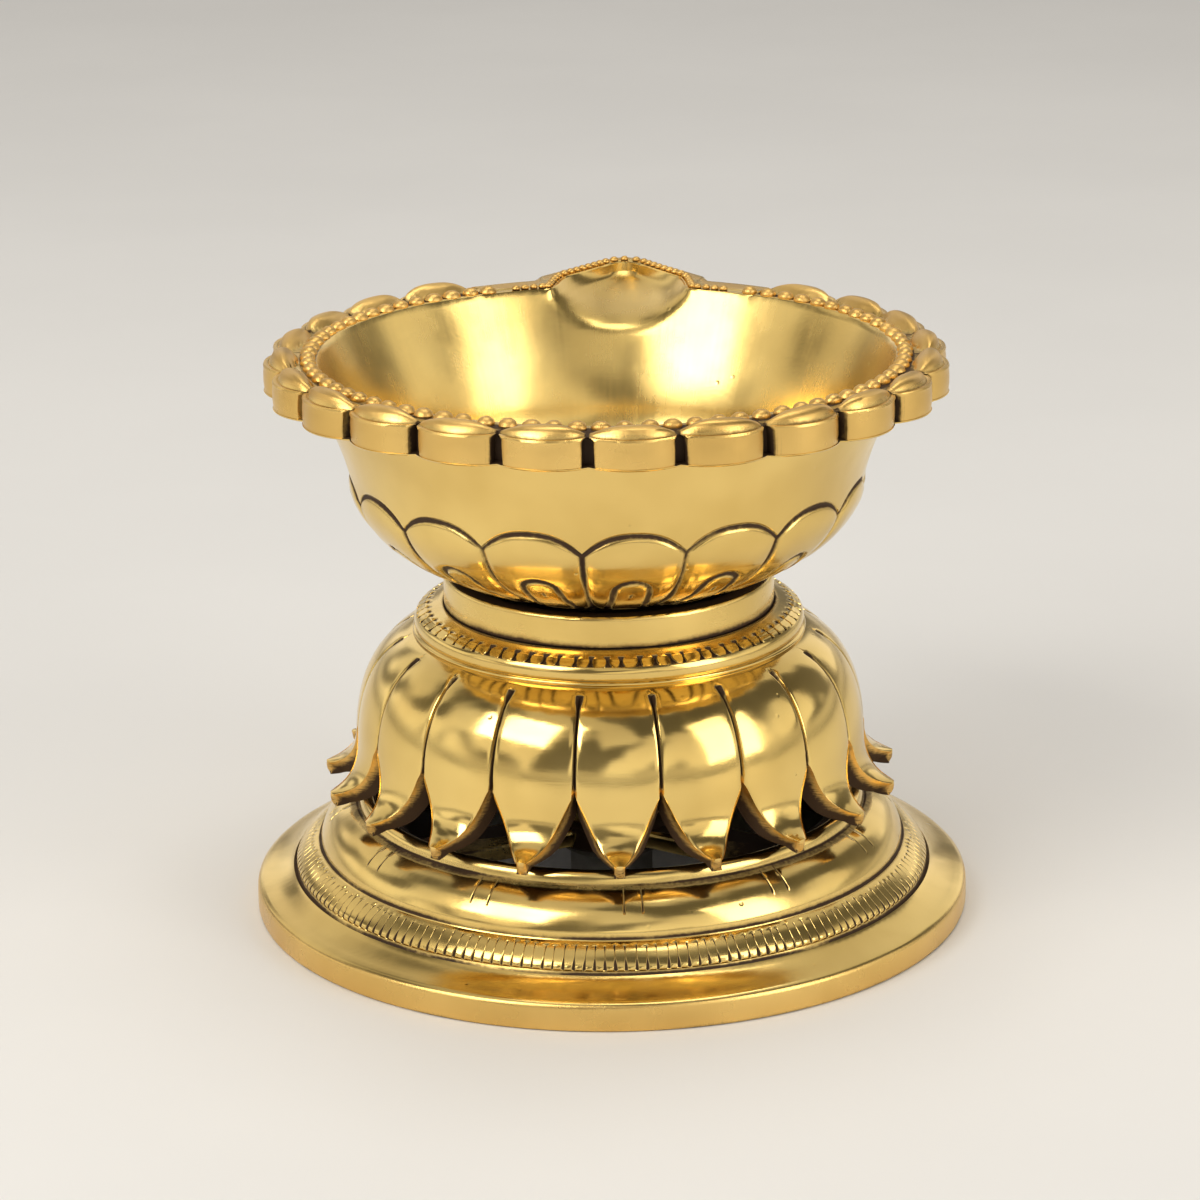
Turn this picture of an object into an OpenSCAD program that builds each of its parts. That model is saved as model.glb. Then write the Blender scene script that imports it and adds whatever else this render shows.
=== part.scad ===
// Lotus diya: a small cast brass oil lamp on a lotus stand.
// The castings are stacked on one threaded rod, which ends in a nut inside the hollow foot.
// Millimetres, +Z up. The origin is on the lamp's axis, in the plane that the foot stands on.
// The front faces -Y, and the wick spout points to +Y.

/* [Foot] */
// Diameter of the foot
foot_d = 100; // [92:1:112]
// Height of the foot's upright edge
foot_edge_h = 3.9; // [3:0.1:5]
// Width of the sloping face inside the edge
foot_slope_w = 5.4; // [4:0.1:7]
// Rise of the sloping face
foot_slope_rise = 2; // [1:0.1:3]
// Width of the hatched roll, measured level
hatch_roll_w = 3.6; // [3:0.1:5]
// Rise of the hatched roll
hatch_roll_rise = 3.7; // [3:0.1:5]
// Width of the rounded step above the hatched roll
foot_step_w = 5.3; // [4:0.1:7]
// Rise of the rounded step
foot_step_rise = 5.4; // [4:0.1:7]
// Width of the small roll round the foot's top
top_roll_w = 2.6; // [2:0.1:3.4]
// Height of the small roll above the rounded step
top_roll_h = 1.5; // [1:0.1:2]
// Width of the ledge inside the small roll
foot_ledge_w = 2; // [1:0.1:3]
// Thickness of the foot's cast wall
foot_wall = 3.4; // [2.6:0.1:4.2]
// Width of the grooves between the foot's mouldings
foot_groove_w = 0.6; // [0.4:0.1:0.9]

/* [Foot web] */
// Number of arms that carry the middle of the foot
web_arms = 3; // [3:1:5]
// Width of an arm
web_arm_w = 8; // [6:0.5:11]
// Thickness of the hub that the arms carry
web_t = 3.2; // [2.5:0.1:4.5]
// How far the hub stands proud of the arms, above and below
web_hub_proud = 0.4; // [0.2:0.1:0.6]
// Diameter of the hub
web_hub_d = 18; // [16:0.5:24]

/* [Lotus dome] */
// Number of petals
petals = 19; // [12:1:22]
// Diameter across the petal tips
dome_tip_d = 80.4; // [77:0.2:86]
// Diameter where the petals are fullest
dome_belly_d = 71.2; // [68:0.2:74]
// Diameter where the petals meet the neck
dome_neck_d = 54.8; // [52:0.2:60]
// Height of the neck above the petal tips
dome_h = 22.2; // [19:0.2:26]
// Height of the fullest part above the petal tips
dome_belly_h = 7.7; // [6:0.1:9]
// Thickness of the petals
petal_t = 3; // [2.4:0.1:3.6]
// Upright thickness of a petal's tip
petal_tip_t = 1.9; // [1.4:0.1:2.6]
// Width of a petal's blunt tip
petal_tip_w = 1.8; // [1.2:0.1:4]
// Height of the openings between the petals
petal_gap_h = 9.7; // [7:0.1:12]
// Width of the chased line between two petals
petal_line_w = 0.7; // [0.4:0.1:1.2]
// Depth of the chased line
petal_line_depth = 0.8; // [0.4:0.1:1.2]
// Clear height between the petal tips and the top of the foot
petal_tip_clear = 0.8; // [0.4:0.1:2]

/* [Neck] */
// Height of the small bead between the petals and the roll
neck_bead_h = 0.8; // [0.5:0.1:1.2]
// Height of the rounded roll below the shoulder
neck_roll_h = 2.5; // [2:0.1:3.5]
// How far the roll swells out
neck_roll_swell = 0.6; // [0.4:0.1:1.2]
// Width of the sloping shoulder round the collar
shoulder_w = 2.7; // [2:0.1:3.4]
// Drop of the shoulder from the collar to its edge
shoulder_drop = 0.8; // [0.4:0.1:1.2]
// Thickness of the plate under the collar
deck_t = 5; // [4:0.1:6.5]
// Diameter of the hub under the plate
deck_hub_d = 20; // [16:0.5:26]
// Height of the hub under the plate
deck_hub_h = 2; // [1:0.1:4]

/* [Collar] */
// Outer diameter of the plain collar
collar_d = 45.8; // [43:0.2:48]
// Height of the collar
collar_h = 4.2; // [3.4:0.1:5.2]
// Thickness of the collar
collar_wall = 2.9; // [2:0.1:4]
// Height of the raised ring that centres the collar
collar_register_h = 0.7; // [0.4:0.1:1.2]

/* [Bowl] */
// Height of the rim above the underside of the bowl
bowl_h = 35.1; // [31:0.1:38]
// Diameter of the bowl where it turns upright
bowl_belly_d = 70; // [66:0.2:74]
// Height of that turn above the underside
bowl_belly_h = 15.4; // [13:0.2:18]
// Outer diameter of the bowl just under the rim
bowl_top_d = 79.6; // [76:0.2:84]
// Diameter of the mouth
bowl_mouth_d = 78.4; // [74:0.2:80]
// Thickness of the bowl's wall
bowl_wall = 3; // [2.4:0.1:3.6]
// Thickness of the bowl's floor
bowl_floor = 4.2; // [3.9:0.1:5.5]
// Diameter of the boss under the bowl
bowl_boss_d = 19; // [15:0.5:24]
// Clear height between the collar and the bowl
bowl_gap = 0.7; // [0.4:0.1:2]

/* [Rim] */
// Diameter across the lobes
rim_d = 93.4; // [90:0.2:98]
// Height of the rim band
rim_h = 6; // [4.5:0.1:7]
// Number of lobes in a full round
rim_lobes = 24; // [20:1:32]
// Radius of a lobe's face
lobe_r = 8.1; // [6.6:0.1:9]
// Height of the crown on each lobe
lobe_crown_h = 1.9; // [1:0.1:2.4]
// Width of a lobe from its face to the bead row
lobe_w = 4.9; // [4:0.1:5.6]
// Width of the slots between the lobes
lobe_slot_w = 1.3; // [0.8:0.1:2]
// Depth of the slots
lobe_slot_depth = 3.4; // [2.4:0.1:4]
// Diameter of the beads inside the lobes
bead_d = 1.8; // [1.2:0.1:2.2]

/* [Spout] */
// Reach of the spout's tip from the lamp's axis
spout_reach = 56.4; // [52:0.2:62]
// Half of the angle that the spout takes from the rim
spout_half_angle = 23; // [18:1:28]
// Half of the width of the spout's tip
spout_tip_half_w = 1.8; // [1.2:0.1:2.6]
// Height of the tip above the flat of the rim
spout_rise = 0.8; // [0.4:0.1:3]
// Height of the lip at the spout's tip
spout_lip_h = 5.5; // [4:0.1:7]
// Slope of the spout's keel in degrees
spout_keel_slope = 14; // [10:1:20]
// Radius of the rounded keel
spout_keel_r = 14.5; // [12:0.5:18]
// Thickness of the spout's wall
spout_wall = 2.3; // [1.8:0.1:3]

/* [Rod and nut] */
// Diameter of the threaded rod
rod_d = 6; // [5:0.5:7]
// Thickness of brass left over the rod's end in the bowl's floor
rod_cover = 0.9; // [0.6:0.1:1.4]
// Length of thread that stands out below the nut
rod_stand_out = 1; // [0.5:0.1:1.5]
// Height of the rod's end above the ground
rod_ground_gap = 1.2; // [0.6:0.1:2]
// Width of the nut across its flats
nut_af = 10; // [9:0.5:12]
// Height of the nut
nut_h = 5; // [4:0.1:6]
// Diameter of the washer
washer_d = 14; // [12.5:0.5:17]
// Thickness of the washer
washer_t = 1.6; // [1:0.1:2.5]
// Outer diameter of the tube round the rod
spacer_d = 14; // [11:0.5:16]
// Clearance of the rod in the bores that guide it
running_clear = 0.05; // [0.03:0.01:0.08]
// Clearance of the rod in the pieces that it only passes through
passing_clear = 0.3; // [0.2:0.05:0.5]

/* [Hidden] */
$fn = 96;
curve_steps = 8;
// How far a cutting shape reaches past the piece that it cuts
cut = 1;

// Foot, from the outside in
foot_r = foot_d/2;
slope_in_r = foot_r - foot_slope_w;
step_r = slope_in_r - hatch_roll_w;
foot_top_r = step_r - foot_step_w;
ledge_out_r = foot_top_r - top_roll_w;
ledge_in_r = ledge_out_r - foot_ledge_w;
slope_z = foot_edge_h + foot_slope_rise;
step_z = slope_z + hatch_roll_rise;
foot_top_z = step_z + foot_step_rise;
foot_slope_dip = 0.3;
hatch_roll_swell = 0.7;
foot_step_swell = 0.9;
wall_shift = foot_wall/sqrt(2);

// Rod stack, from the ground up
rod_r = rod_d/2;
guide_r = rod_r + running_clear;
passing_r = rod_r + passing_clear;
rod_end_z = rod_ground_gap;
nut_z = rod_end_z + rod_stand_out;
washer_z = nut_z + nut_h;
web_z = washer_z + washer_t;
web_top_z = web_z + web_t;

// Collar and the shoulder that carries it
collar_r = collar_d/2;
collar_in_r = collar_r - collar_wall;
seat_r = collar_r + 0.2;
shoulder_r = collar_r + shoulder_w;

// Dome and neck, from the petal tips up
tip_r = dome_tip_d/2;
belly_r = dome_belly_d/2;
neck_r = dome_neck_d/2;
neck_groove = 0.5;
neck_bead_swell = 0.25;
tip_z = foot_top_z + top_roll_h + petal_tip_clear;
belly_z = tip_z + dome_belly_h;
neck_z = tip_z + dome_h;
roll_z = neck_z + neck_bead_h;
shoulder_z = roll_z + neck_roll_h;
seat_z = shoulder_z + shoulder_drop;
deck_z = seat_z - deck_t;
deck_r = neck_r - petal_t - 1;
hub_z = deck_z - deck_hub_h;
register_z = seat_z + collar_register_h;
collar_top_z = seat_z + collar_h;
petal_in_r = belly_r - petal_t;
petal_tip_bevel = 0.6;
petal_pitch = 360/petals;
petal_phase = 4.6;

// Outer curve of the petals, from the neck down to the tips
petal_top_curve = curve([neck_r, neck_z], [belly_r, belly_z], [0.7, 0.14], [0.96, 0.53]);
petal_tip_curve = curve([belly_r, belly_z], [tip_r, tip_z + petal_tip_t], [0.02, 0.56], [0.3, 0.88]);

// Inner curve of the petals, from the tips up to the plate
petal_inside = concat(
    curve([tip_r - petal_tip_bevel, tip_z], [petal_in_r, belly_z], [0.57, 0], [0.97, 0.39]),
    curve([petal_in_r, belly_z], [deck_r, deck_z], [0.03, 0.44], [0.34, 0.77]));

// Bowl, with heights from its underside
belly_bowl_r = bowl_belly_d/2;
inner_belly_r = belly_bowl_r - bowl_wall;
inner_belly_h = bowl_belly_h + 1;
top_bowl_r = bowl_top_d/2;
mouth_r = bowl_mouth_d/2;
boss_r = bowl_boss_d/2;
rim_under_h = bowl_h - rim_h;
rim_flat_h = bowl_h - lobe_crown_h;
under_curve = curve([boss_r, 0], [belly_bowl_r, bowl_belly_h], [0.5, 0.23], [0.9, 0.47]);
wall_curve = curve([belly_bowl_r, bowl_belly_h], [top_bowl_r, rim_under_h], [0.12, 0.33], [0.58, 0.67]);
inside_curve = concat(
    curve([0, bowl_floor], [inner_belly_r, inner_belly_h], [0.6, 0], [0.94, 0.35]),
    curve([inner_belly_r, inner_belly_h], [mouth_r, rim_flat_h], [0.17, 0.33], [0.69, 0.7]));
bowl_z = collar_top_z + bowl_gap - lookup(collar_in_r, under_curve);
rim_z = bowl_z + bowl_h;
bore_top_z = bowl_z + bowl_floor - rod_cover;
rod_top_z = bore_top_z - passing_clear;

// Rim and spout
rim_r = rim_d/2;
lobe_pitch = 360/rim_lobes;
lobe_phase = lobe_pitch/2;
lobe_in_r = rim_r - lobe_w;
lobe_slot_floor = 0.3;
lobe_crease = lobe_crown_h + 0.2;
bead_ring_r = (lobe_in_r + mouth_r)/2;
plain_rim_r = lobe_in_r + lobe_w/2;
spout_start_y = mouth_r - spout_keel_r;
spout_tip_z = bowl_z + rim_flat_h + spout_rise;
spout_keel_z = spout_tip_z - spout_lip_h;

brass = [0.80, 0.62, 0.28];
old_brass = [0.70, 0.54, 0.27];
steel = [0.62, 0.62, 0.60];

function bezier(a, b, c, d, n) =
    [for (i = [0:n]) let (t = i/n, u = 1 - t) a*u*u*u + b*3*u*u*t + c*3*u*t*t + d*t*t*t];

// A smooth curve from a to d, whose two handles are given as shares of the way in each direction
function curve(a, d, leave, arrive, n = curve_steps) =
    let (way = d - a)
    bezier(a, a + [way.x*leave.x, way.y*leave.y], a + [way.x*arrive.x, way.y*arrive.y], d, n);

// Points from p to q that swell to the right of the way by h
function swell(p, q, h, n = curve_steps) =
    let (way = q - p, side = [way.y, -way.x]/norm(way))
    [for (i = [0:n]) let (t = i/n) p + way*t + side*4*h*t*(1 - t)];

function backwards(points) = [for (i = [len(points) - 1:-1:0]) points[i]];

function shifted(points, by) = [for (p = points) p + by];

function mirrored(points) = [for (p = points) [-p.x, p.y]];

// A solid of revolution from points that are radius and height
module turned(points) {
    rotate_extrude() polygon(points);
}

// A groove turned into a moulding, square in section
module turned_groove(r, z) {
    turned([
        [r - foot_groove_w/2, z - foot_groove_w/2], [r + foot_groove_w/2, z - foot_groove_w/2],
        [r + foot_groove_w/2, z + foot_groove_w/2], [r - foot_groove_w/2, z + foot_groove_w/2]]);
}

// Upright bore through whatever lies between two heights
module bore(r, from_z, to_z) {
    translate([0, 0, from_z]) cylinder(r = r, h = to_z - from_z);
}

// A plain tube round the rod
module sleeve(outer_r, inner_r, z, h) {
    difference() {
        translate([0, 0, z]) cylinder(r = outer_r, h = h);
        bore(inner_r, z - cut, z + h + cut);
    }
}

module foot_web() {
    arm_start = (passing_r + web_hub_d/2)/2;
    translate([0, 0, web_z]) cylinder(d = web_hub_d, h = web_t);
    for (i = [0:web_arms - 1])
        rotate([0, 0, i*360/web_arms])
            translate([-web_arm_w/2, arm_start, web_z + web_hub_proud])
                cube([web_arm_w, step_r - foot_wall - arm_start, web_t - 2*web_hub_proud]);
}

module foot() {
    outside = concat(
        [[foot_r, 0]],
        swell([foot_r, foot_edge_h], [slope_in_r, slope_z], -foot_slope_dip),
        swell([slope_in_r, slope_z], [step_r, step_z], hatch_roll_swell),
        swell([step_r, step_z], [foot_top_r, foot_top_z], foot_step_swell),
        swell([foot_top_r, foot_top_z], [ledge_out_r, foot_top_z], top_roll_h));
    inside = [
        [ledge_in_r, foot_top_z],
        [ledge_in_r, foot_top_z - wall_shift],
        [foot_top_r - wall_shift, foot_top_z - wall_shift],
        [step_r - wall_shift, step_z - wall_shift],
        [slope_in_r - wall_shift, slope_z - wall_shift],
        [slope_in_r - wall_shift, 0]];
    color(brass) difference() {
        union() {
            turned(concat(outside, inside));
            foot_web();
        }
        turned_groove(slope_in_r, slope_z);
        turned_groove(step_r, step_z);
        turned_groove(foot_top_r, foot_top_z);
        bore(passing_r, web_z - cut, web_top_z + cut);
    }
}

// Opening between two petals, pointed at the top and flared at the foot
module petal_gap() {
    half_w = PI*tip_r/petals - petal_tip_w/2;
    flank = curve([0, tip_z + petal_gap_h], [half_w, tip_z + petal_tip_t/2], [0.25, 0.4], [0.76, 0.72], 5);
    start_r = petal_in_r - petal_t;
    translate([0, -start_r, 0])
        rotate([90, 0, 0])
            linear_extrude(tip_r - start_r + cut)
                polygon(concat(flank, [[half_w, tip_z - cut], [-half_w, tip_z - cut]],
                    backwards(mirrored([for (i = [1:len(flank) - 1]) flank[i]]))));
}

// Chased line that runs from an opening up to the neck
module petal_line() {
    line_top = concat(petal_top_curve, [for (i = [1:3]) petal_tip_curve[i]]);
    deep = petal_line_depth/sqrt(2);
    rotate([0, 0, -90])
        rotate([90, 0, 0])
            linear_extrude(petal_line_w, center = true)
                polygon(concat(shifted(line_top, [cut, cut]), backwards(shifted(line_top, [-deep, -deep]))));
}

module lotus_dome() {
    bead = swell([neck_r - neck_groove/2, neck_z], [neck_r - neck_groove, roll_z], neck_bead_swell);
    roll = swell([neck_r - neck_groove, roll_z], [shoulder_r, shoulder_z], neck_roll_swell);
    neck = concat(
        [[guide_r, register_z], [collar_in_r - running_clear, register_z],
            [collar_in_r - running_clear, seat_z], [seat_r, seat_z]],
        backwards(roll), backwards([for (i = [0:len(bead) - 2]) bead[i]]));
    hub = [[deck_hub_d/2, deck_z], [deck_hub_d/2, hub_z], [guide_r, hub_z]];
    color(brass) difference() {
        turned(concat(neck, petal_top_curve, petal_tip_curve, petal_inside, hub));
        for (i = [0:petals - 1])
            rotate([0, 0, petal_phase + (i + 0.5)*petal_pitch]) {
                petal_gap();
                petal_line();
            }
    }
}

module neck_collar() {
    color(old_brass) sleeve(collar_r, collar_in_r, seat_z, collar_h);
}

function in_spout(angle) = abs(angle - 180) < spout_half_angle;

// The rim's outline in plan: a disc with round lobes, plain where the spout is
module lobed_outline() {
    circle(r = plain_rim_r);
    for (i = [0:rim_lobes - 1]) {
        angle = lobe_phase + i*lobe_pitch;
        if (!in_spout(angle))
            rotate(angle)
                translate([0, -(rim_r - lobe_r)])
                    circle(r = lobe_r);
    }
}

module rim_band() {
    face_h = rim_flat_h - rim_under_h;
    translate([0, 0, bowl_z + rim_under_h]) intersection() {
        linear_extrude(rim_h) lobed_outline();
        turned(concat(
            [[0, 0], [rim_r, 0]],
            swell([rim_r, face_h], [lobe_in_r, face_h], lobe_crown_h),
            [[0, face_h]]));
    }
    translate([0, 0, bowl_z + rim_flat_h])
        rotate_extrude()
            translate([bead_ring_r, 0])
                circle(d = bead_d, $fn = 32);
}

// Upright slots and the creases above them, between the lobes but not in the spout
module lobe_slots() {
    for (i = [0:rim_lobes - 1]) {
        angle = lobe_phase + (i + 0.5)*lobe_pitch;
        if (!in_spout(angle))
            rotate([0, 0, angle]) {
                translate([-lobe_slot_w/2, -rim_r - cut, bowl_z + rim_under_h + lobe_slot_floor])
                    cube([lobe_slot_w, lobe_slot_depth + cut, rim_h]);
                translate([0, -lobe_in_r, rim_z - lobe_crease])
                    rotate([90, 0, 0])
                        linear_extrude(lobe_w + cut)
                            polygon([[0, 0], [1, 1]*(lobe_crease + cut), [-1, 1]*(lobe_crease + cut)]);
            }
    }
}

// The spout in plan, drawn in from its outer outline by the given width
module spout_plan(inset) {
    root = (plain_rim_r - inset)*[sin(spout_half_angle), cos(spout_half_angle)] - [inset, 0];
    tip = [spout_tip_half_w*(1 - inset/(spout_wall*2)), spout_reach - inset];
    side = curve(root, tip, [0.4, 0.3], [0.72, 0.66]);
    start = [root.x, spout_start_y];
    polygon(concat([start], side, backwards(mirrored(side)), mirrored([start])));
}

// A long round bar along the keel of the spout
module spout_keel(r) {
    translate([0, spout_reach, spout_keel_z])
        rotate([spout_keel_slope, 0, 0])
            translate([0, 0, spout_keel_r])
                rotate([90, 0, 0])
                    cylinder(r = r, h = spout_reach, center = true);
}

// All that lies below the spout's lip, which rises to the tip
module below_lip() {
    size = 2*spout_reach;
    lip_slope = atan(spout_rise/(spout_reach - spout_start_y));
    translate([-size/2, spout_start_y, bowl_z + rim_flat_h])
        rotate([lip_slope, 0, 0])
            translate([0, -size/2, -size])
                cube([size, size, size]);
}

module spout_body() {
    intersection() {
        translate([0, 0, bowl_z]) linear_extrude(2*bowl_h) spout_plan(0);
        spout_keel(spout_keel_r);
        below_lip();
    }
}

module spout_channel() {
    intersection() {
        translate([0, 0, bowl_z]) linear_extrude(2*bowl_h) spout_plan(spout_wall);
        spout_keel(spout_keel_r - spout_wall);
    }
}

module bowl_inside() {
    over_h = bowl_h + spout_rise + cut;
    translate([0, 0, bowl_z]) turned(concat(inside_curve, [[mouth_r, over_h], [0, over_h]]));
}

module oil_bowl() {
    boss_h = bowl_z - register_z;
    color(brass) difference() {
        union() {
            translate([0, 0, bowl_z]) turned(concat(
                [[0, -boss_h], [boss_r, -boss_h]], under_curve, wall_curve,
                [[top_bowl_r, rim_under_h + cut], [0, rim_under_h + cut]]));
            difference() {
                rim_band();
                lobe_slots();
            }
            spout_body();
        }
        bowl_inside();
        spout_channel();
        bore(guide_r, register_z - cut, bore_top_z);
    }
}

module spacer_tube() {
    color(old_brass) sleeve(spacer_d/2, passing_r, web_top_z, hub_z - web_top_z);
}

module tie_rod() {
    color(steel) translate([0, 0, rod_end_z]) cylinder(r = rod_r, h = rod_top_z - rod_end_z);
}

module washer() {
    color(steel) sleeve(washer_d/2, passing_r, washer_z, washer_t);
}

module hex_nut() {
    color(steel) difference() {
        translate([0, 0, nut_z]) cylinder(d = nut_af/cos(30), h = nut_h, $fn = 6);
        bore(guide_r, nut_z - cut, washer_z + cut);
    }
}

foot();
lotus_dome();
neck_collar();
oil_bowl();
spacer_tube();
tie_rod();
washer();
hex_nut();
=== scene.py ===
"""Looks of a small cast brass lotus lamp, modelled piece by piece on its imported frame."""

import bisect
import math
import random

import bpy
import numpy as np
from bpy.props import FloatProperty, FloatVectorProperty, IntProperty, PointerProperty
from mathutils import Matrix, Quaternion, Vector


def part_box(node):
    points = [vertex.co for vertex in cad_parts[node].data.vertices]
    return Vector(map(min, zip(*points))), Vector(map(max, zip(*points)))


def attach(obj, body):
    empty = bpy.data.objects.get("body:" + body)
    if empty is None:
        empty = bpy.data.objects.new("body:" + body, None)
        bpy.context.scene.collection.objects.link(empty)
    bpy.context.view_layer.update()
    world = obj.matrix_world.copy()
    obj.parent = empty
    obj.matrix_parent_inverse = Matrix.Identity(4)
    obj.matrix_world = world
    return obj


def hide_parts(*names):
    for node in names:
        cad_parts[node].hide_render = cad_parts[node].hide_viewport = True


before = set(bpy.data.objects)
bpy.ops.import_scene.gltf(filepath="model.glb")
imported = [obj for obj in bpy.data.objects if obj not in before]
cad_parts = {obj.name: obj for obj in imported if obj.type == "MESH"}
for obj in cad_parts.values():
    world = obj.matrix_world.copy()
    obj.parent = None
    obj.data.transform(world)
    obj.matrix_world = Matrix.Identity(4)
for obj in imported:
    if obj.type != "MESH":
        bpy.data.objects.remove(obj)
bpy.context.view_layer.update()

bl_info = {
    "name": "Lotus lamp",
    "version": (1, 0, 0),
    "blender": (4, 5, 0),
    "location": "3D View > Sidebar > Lotus lamp",
    "description": "Models a cast brass oil lamp on a lotus stand, with its finishes and its studio",
    "category": "Object",
}

MM = 0.001
FULL_TURN = 360.0
WELD_REACH = 0.004
SMOOTH_ANGLE = math.radians(38)
# The first mark darkens for tarnish and for painted shade.
MARKS = ("patina_and_shade", "filed", "brushed", "band")


def reach(node):
    """Radius, foot height and top height of a round node, in millimetres."""
    low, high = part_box(node)
    return high.x/MM, low.z/MM, high.z/MM


FOOT_R = reach("foot")[0]
COLLAR_R, COLLAR_Z, COLLAR_TOP = reach("neck_collar")
SPACER_R, SPACER_Z, SPACER_TOP = reach("spacer_tube")
ROD_R, ROD_Z, ROD_TOP = reach("tie_rod")
WASHER_R, WASHER_Z, WASHER_TOP = reach("washer")
NUT_R, NUT_Z, NUT_TOP = reach("hex_nut")
SPOUT_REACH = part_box("oil_bowl")[1].y/MM
BOWL_TOP = reach("oil_bowl")[2]
BOSS_Z = reach("oil_bowl")[1]

# Columns of faces round the bowl, across a petal and across a nick
BOWL_COLUMNS = 480
PETAL_COLUMNS = 24
NOTCH_COLUMNS = 6

# Bowl places in millimetres, whose heights follow from the caps of its lobes
BOWL_Z = BOWL_TOP - 35.1
RIM_UNDER = BOWL_Z + 29.1
RIM_FLAT = BOWL_Z + 33.2
RIM_HEIGHT = 4.1
MOUTH_R = 39.2
WALL_TOP_R = 39.8
PLAIN_RIM_R = 44.25

# Dome places in millimetres
NECK_R = 27.4
NECK_Z = 39.5
DECK_R = 23.4
DECK_Z = 38.6


def polar(radius, turn, height):
    """Place in metres at a radius and height in millimetres, turned from the front towards +X."""
    a = math.radians(turn)
    return Vector((radius*math.sin(a)*MM, -radius*math.cos(a)*MM, height*MM))


def curve(start, end, leave, arrive, steps):
    """Bezier points between two places, whose handles are shares of the way in each direction."""
    way = [e - s for s, e in zip(start, end)]
    first = [s + w*k for s, w, k in zip(start, way, leave)]
    second = [s + w*k for s, w, k in zip(start, way, arrive)]
    points = []
    for i in range(steps + 1):
        t = i/steps
        u = 1 - t
        parts = zip(start, first, second, end)
        points.append(tuple(a*u**3 + 3*b*u*u*t + 3*c*u*t*t + d*t**3 for a, b, c, d in parts))
    return points


def swell(start, end, height, steps):
    """Points between two places that swell to the right of the way."""
    way = Vector(end) - Vector(start)
    side = Vector((way.y, -way.x)).normalized()
    points = []
    for i in range(steps + 1):
        t = i/steps
        points.append(tuple(Vector(start) + way*t + side*(4*height*t*(1 - t))))
    return points


def mix(a, b, share):
    return a + (b - a)*share


def ease(x):
    """Smooth step from 0 to 1."""
    x = min(max(x, 0.0), 1.0)
    return x*x*(3 - 2*x)


class Line:
    """A line through (radius, height) points that is read by the length run along it."""

    def __init__(self, points):
        self.points = [Vector(p) for p in points]
        self.runs = [0.0]
        for here, there in zip(self.points, self.points[1:]):
            self.runs.append(self.runs[-1] + (there - here).length)
        self.length = self.runs[-1]

    def at(self, run):
        run = min(max(run, 0.0), self.length)
        i = min(bisect.bisect_right(self.runs, run), len(self.points) - 1) - 1
        share = (run - self.runs[i])/(self.runs[i + 1] - self.runs[i])
        return self.points[i].lerp(self.points[i + 1], share)

    def left(self, run, look=0.3):
        """Unit direction to the left of the way."""
        way = self.at(run + look) - self.at(run - look)
        return Vector((-way.y, way.x)).normalized()

    def run_at_height(self, height):
        heights = [p.y for p in self.points]
        order = 1 if heights[-1] > heights[0] else -1
        return float(np.interp(height, heights[::order], self.runs[::order]))


# Bench work that the pieces share

def clear_bench():
    """Goes back to object mode with nothing selected."""
    if bpy.context.object and bpy.context.object.mode != "OBJECT":
        bpy.ops.object.mode_set(mode="OBJECT")
    bpy.ops.object.select_all(action="DESELECT")


def take_up(piece):
    """Selects one piece alone and makes it the active one."""
    clear_bench()
    piece.select_set(True)
    bpy.context.view_layer.objects.active = piece


def edit_all(piece):
    take_up(piece)
    bpy.ops.object.mode_set(mode="EDIT")
    bpy.ops.mesh.select_all(action="SELECT")


def name_piece(name):
    """Names the primitive that was just added, and gives it the marks that the finishes read."""
    piece = bpy.context.object
    piece.name = name
    piece.data.name = name
    for mark in MARKS:
        piece.data.attributes.new(mark, "FLOAT", "POINT")
    return piece


def read_places(piece):
    """The piece's vertices in millimetres."""
    places = np.empty(len(piece.data.vertices)*3)
    piece.data.vertices.foreach_get("co", places)
    return places.reshape(-1, 3)/MM


def write_places(piece, places):
    piece.data.vertices.foreach_set("co", (np.asarray(places)*MM).ravel())
    piece.data.update()


def read_mark(piece, mark):
    values = np.empty(len(piece.data.vertices))
    piece.data.attributes[mark].data.foreach_get("value", values)
    return values


def write_mark(piece, mark, values):
    piece.data.attributes[mark].data.foreach_set("value", np.asarray(values, float))


def to_polar(places):
    """Radius, turn in degrees and height of places in millimetres."""
    radius = np.hypot(places[:, 0], places[:, 1])
    turn = np.degrees(np.arctan2(places[:, 0], -places[:, 1]))
    return radius, turn, places[:, 2].copy()


def from_polar(radius, turn, height):
    a = np.radians(turn)
    return np.stack((radius*np.sin(a), -radius*np.cos(a), height), axis=1)


def draw_profile(name, points, turn=0.0):
    """Draws (radius, height, tarnish and painted shade) points, some with a band, as one chain of edges
    beside the axis.
    """
    clear_bench()
    spots = [polar(p[0], turn, p[1]) for p in points]
    bpy.ops.mesh.primitive_plane_add(size=MM, location=spots[0])
    piece = name_piece(name)
    bpy.ops.object.transform_apply(location=True, rotation=False, scale=False)
    edit_all(piece)
    bpy.ops.mesh.merge(type="CENTER")
    for here, there in zip(spots, spots[1:]):
        bpy.ops.mesh.extrude_region_move(TRANSFORM_OT_translate={"value": there - here})
    bpy.ops.object.mode_set(mode="OBJECT")
    radius, _, height = to_polar(read_places(piece))
    drawn = np.array([p[:2] for p in points])
    gaps = np.hypot(radius[:, None] - drawn[None, :, 0], height[:, None] - drawn[None, :, 1])
    nearest = gaps.argmin(axis=1)
    write_mark(piece, "patina_and_shade", [points[i][2] for i in nearest])
    write_mark(piece, "band", [points[i][3] if len(points[i]) > 3 else 0 for i in nearest])
    return piece


def spin(piece, *arcs):
    """Spins the piece's chain through each arc of (degrees, steps) in turn."""
    edit_all(piece)
    for degrees, steps in arcs:
        bpy.ops.mesh.spin(steps=steps, angle=math.radians(degrees), center=(0, 0, 0), axis=(0, 0, -1))
    clear_bench()


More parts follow.
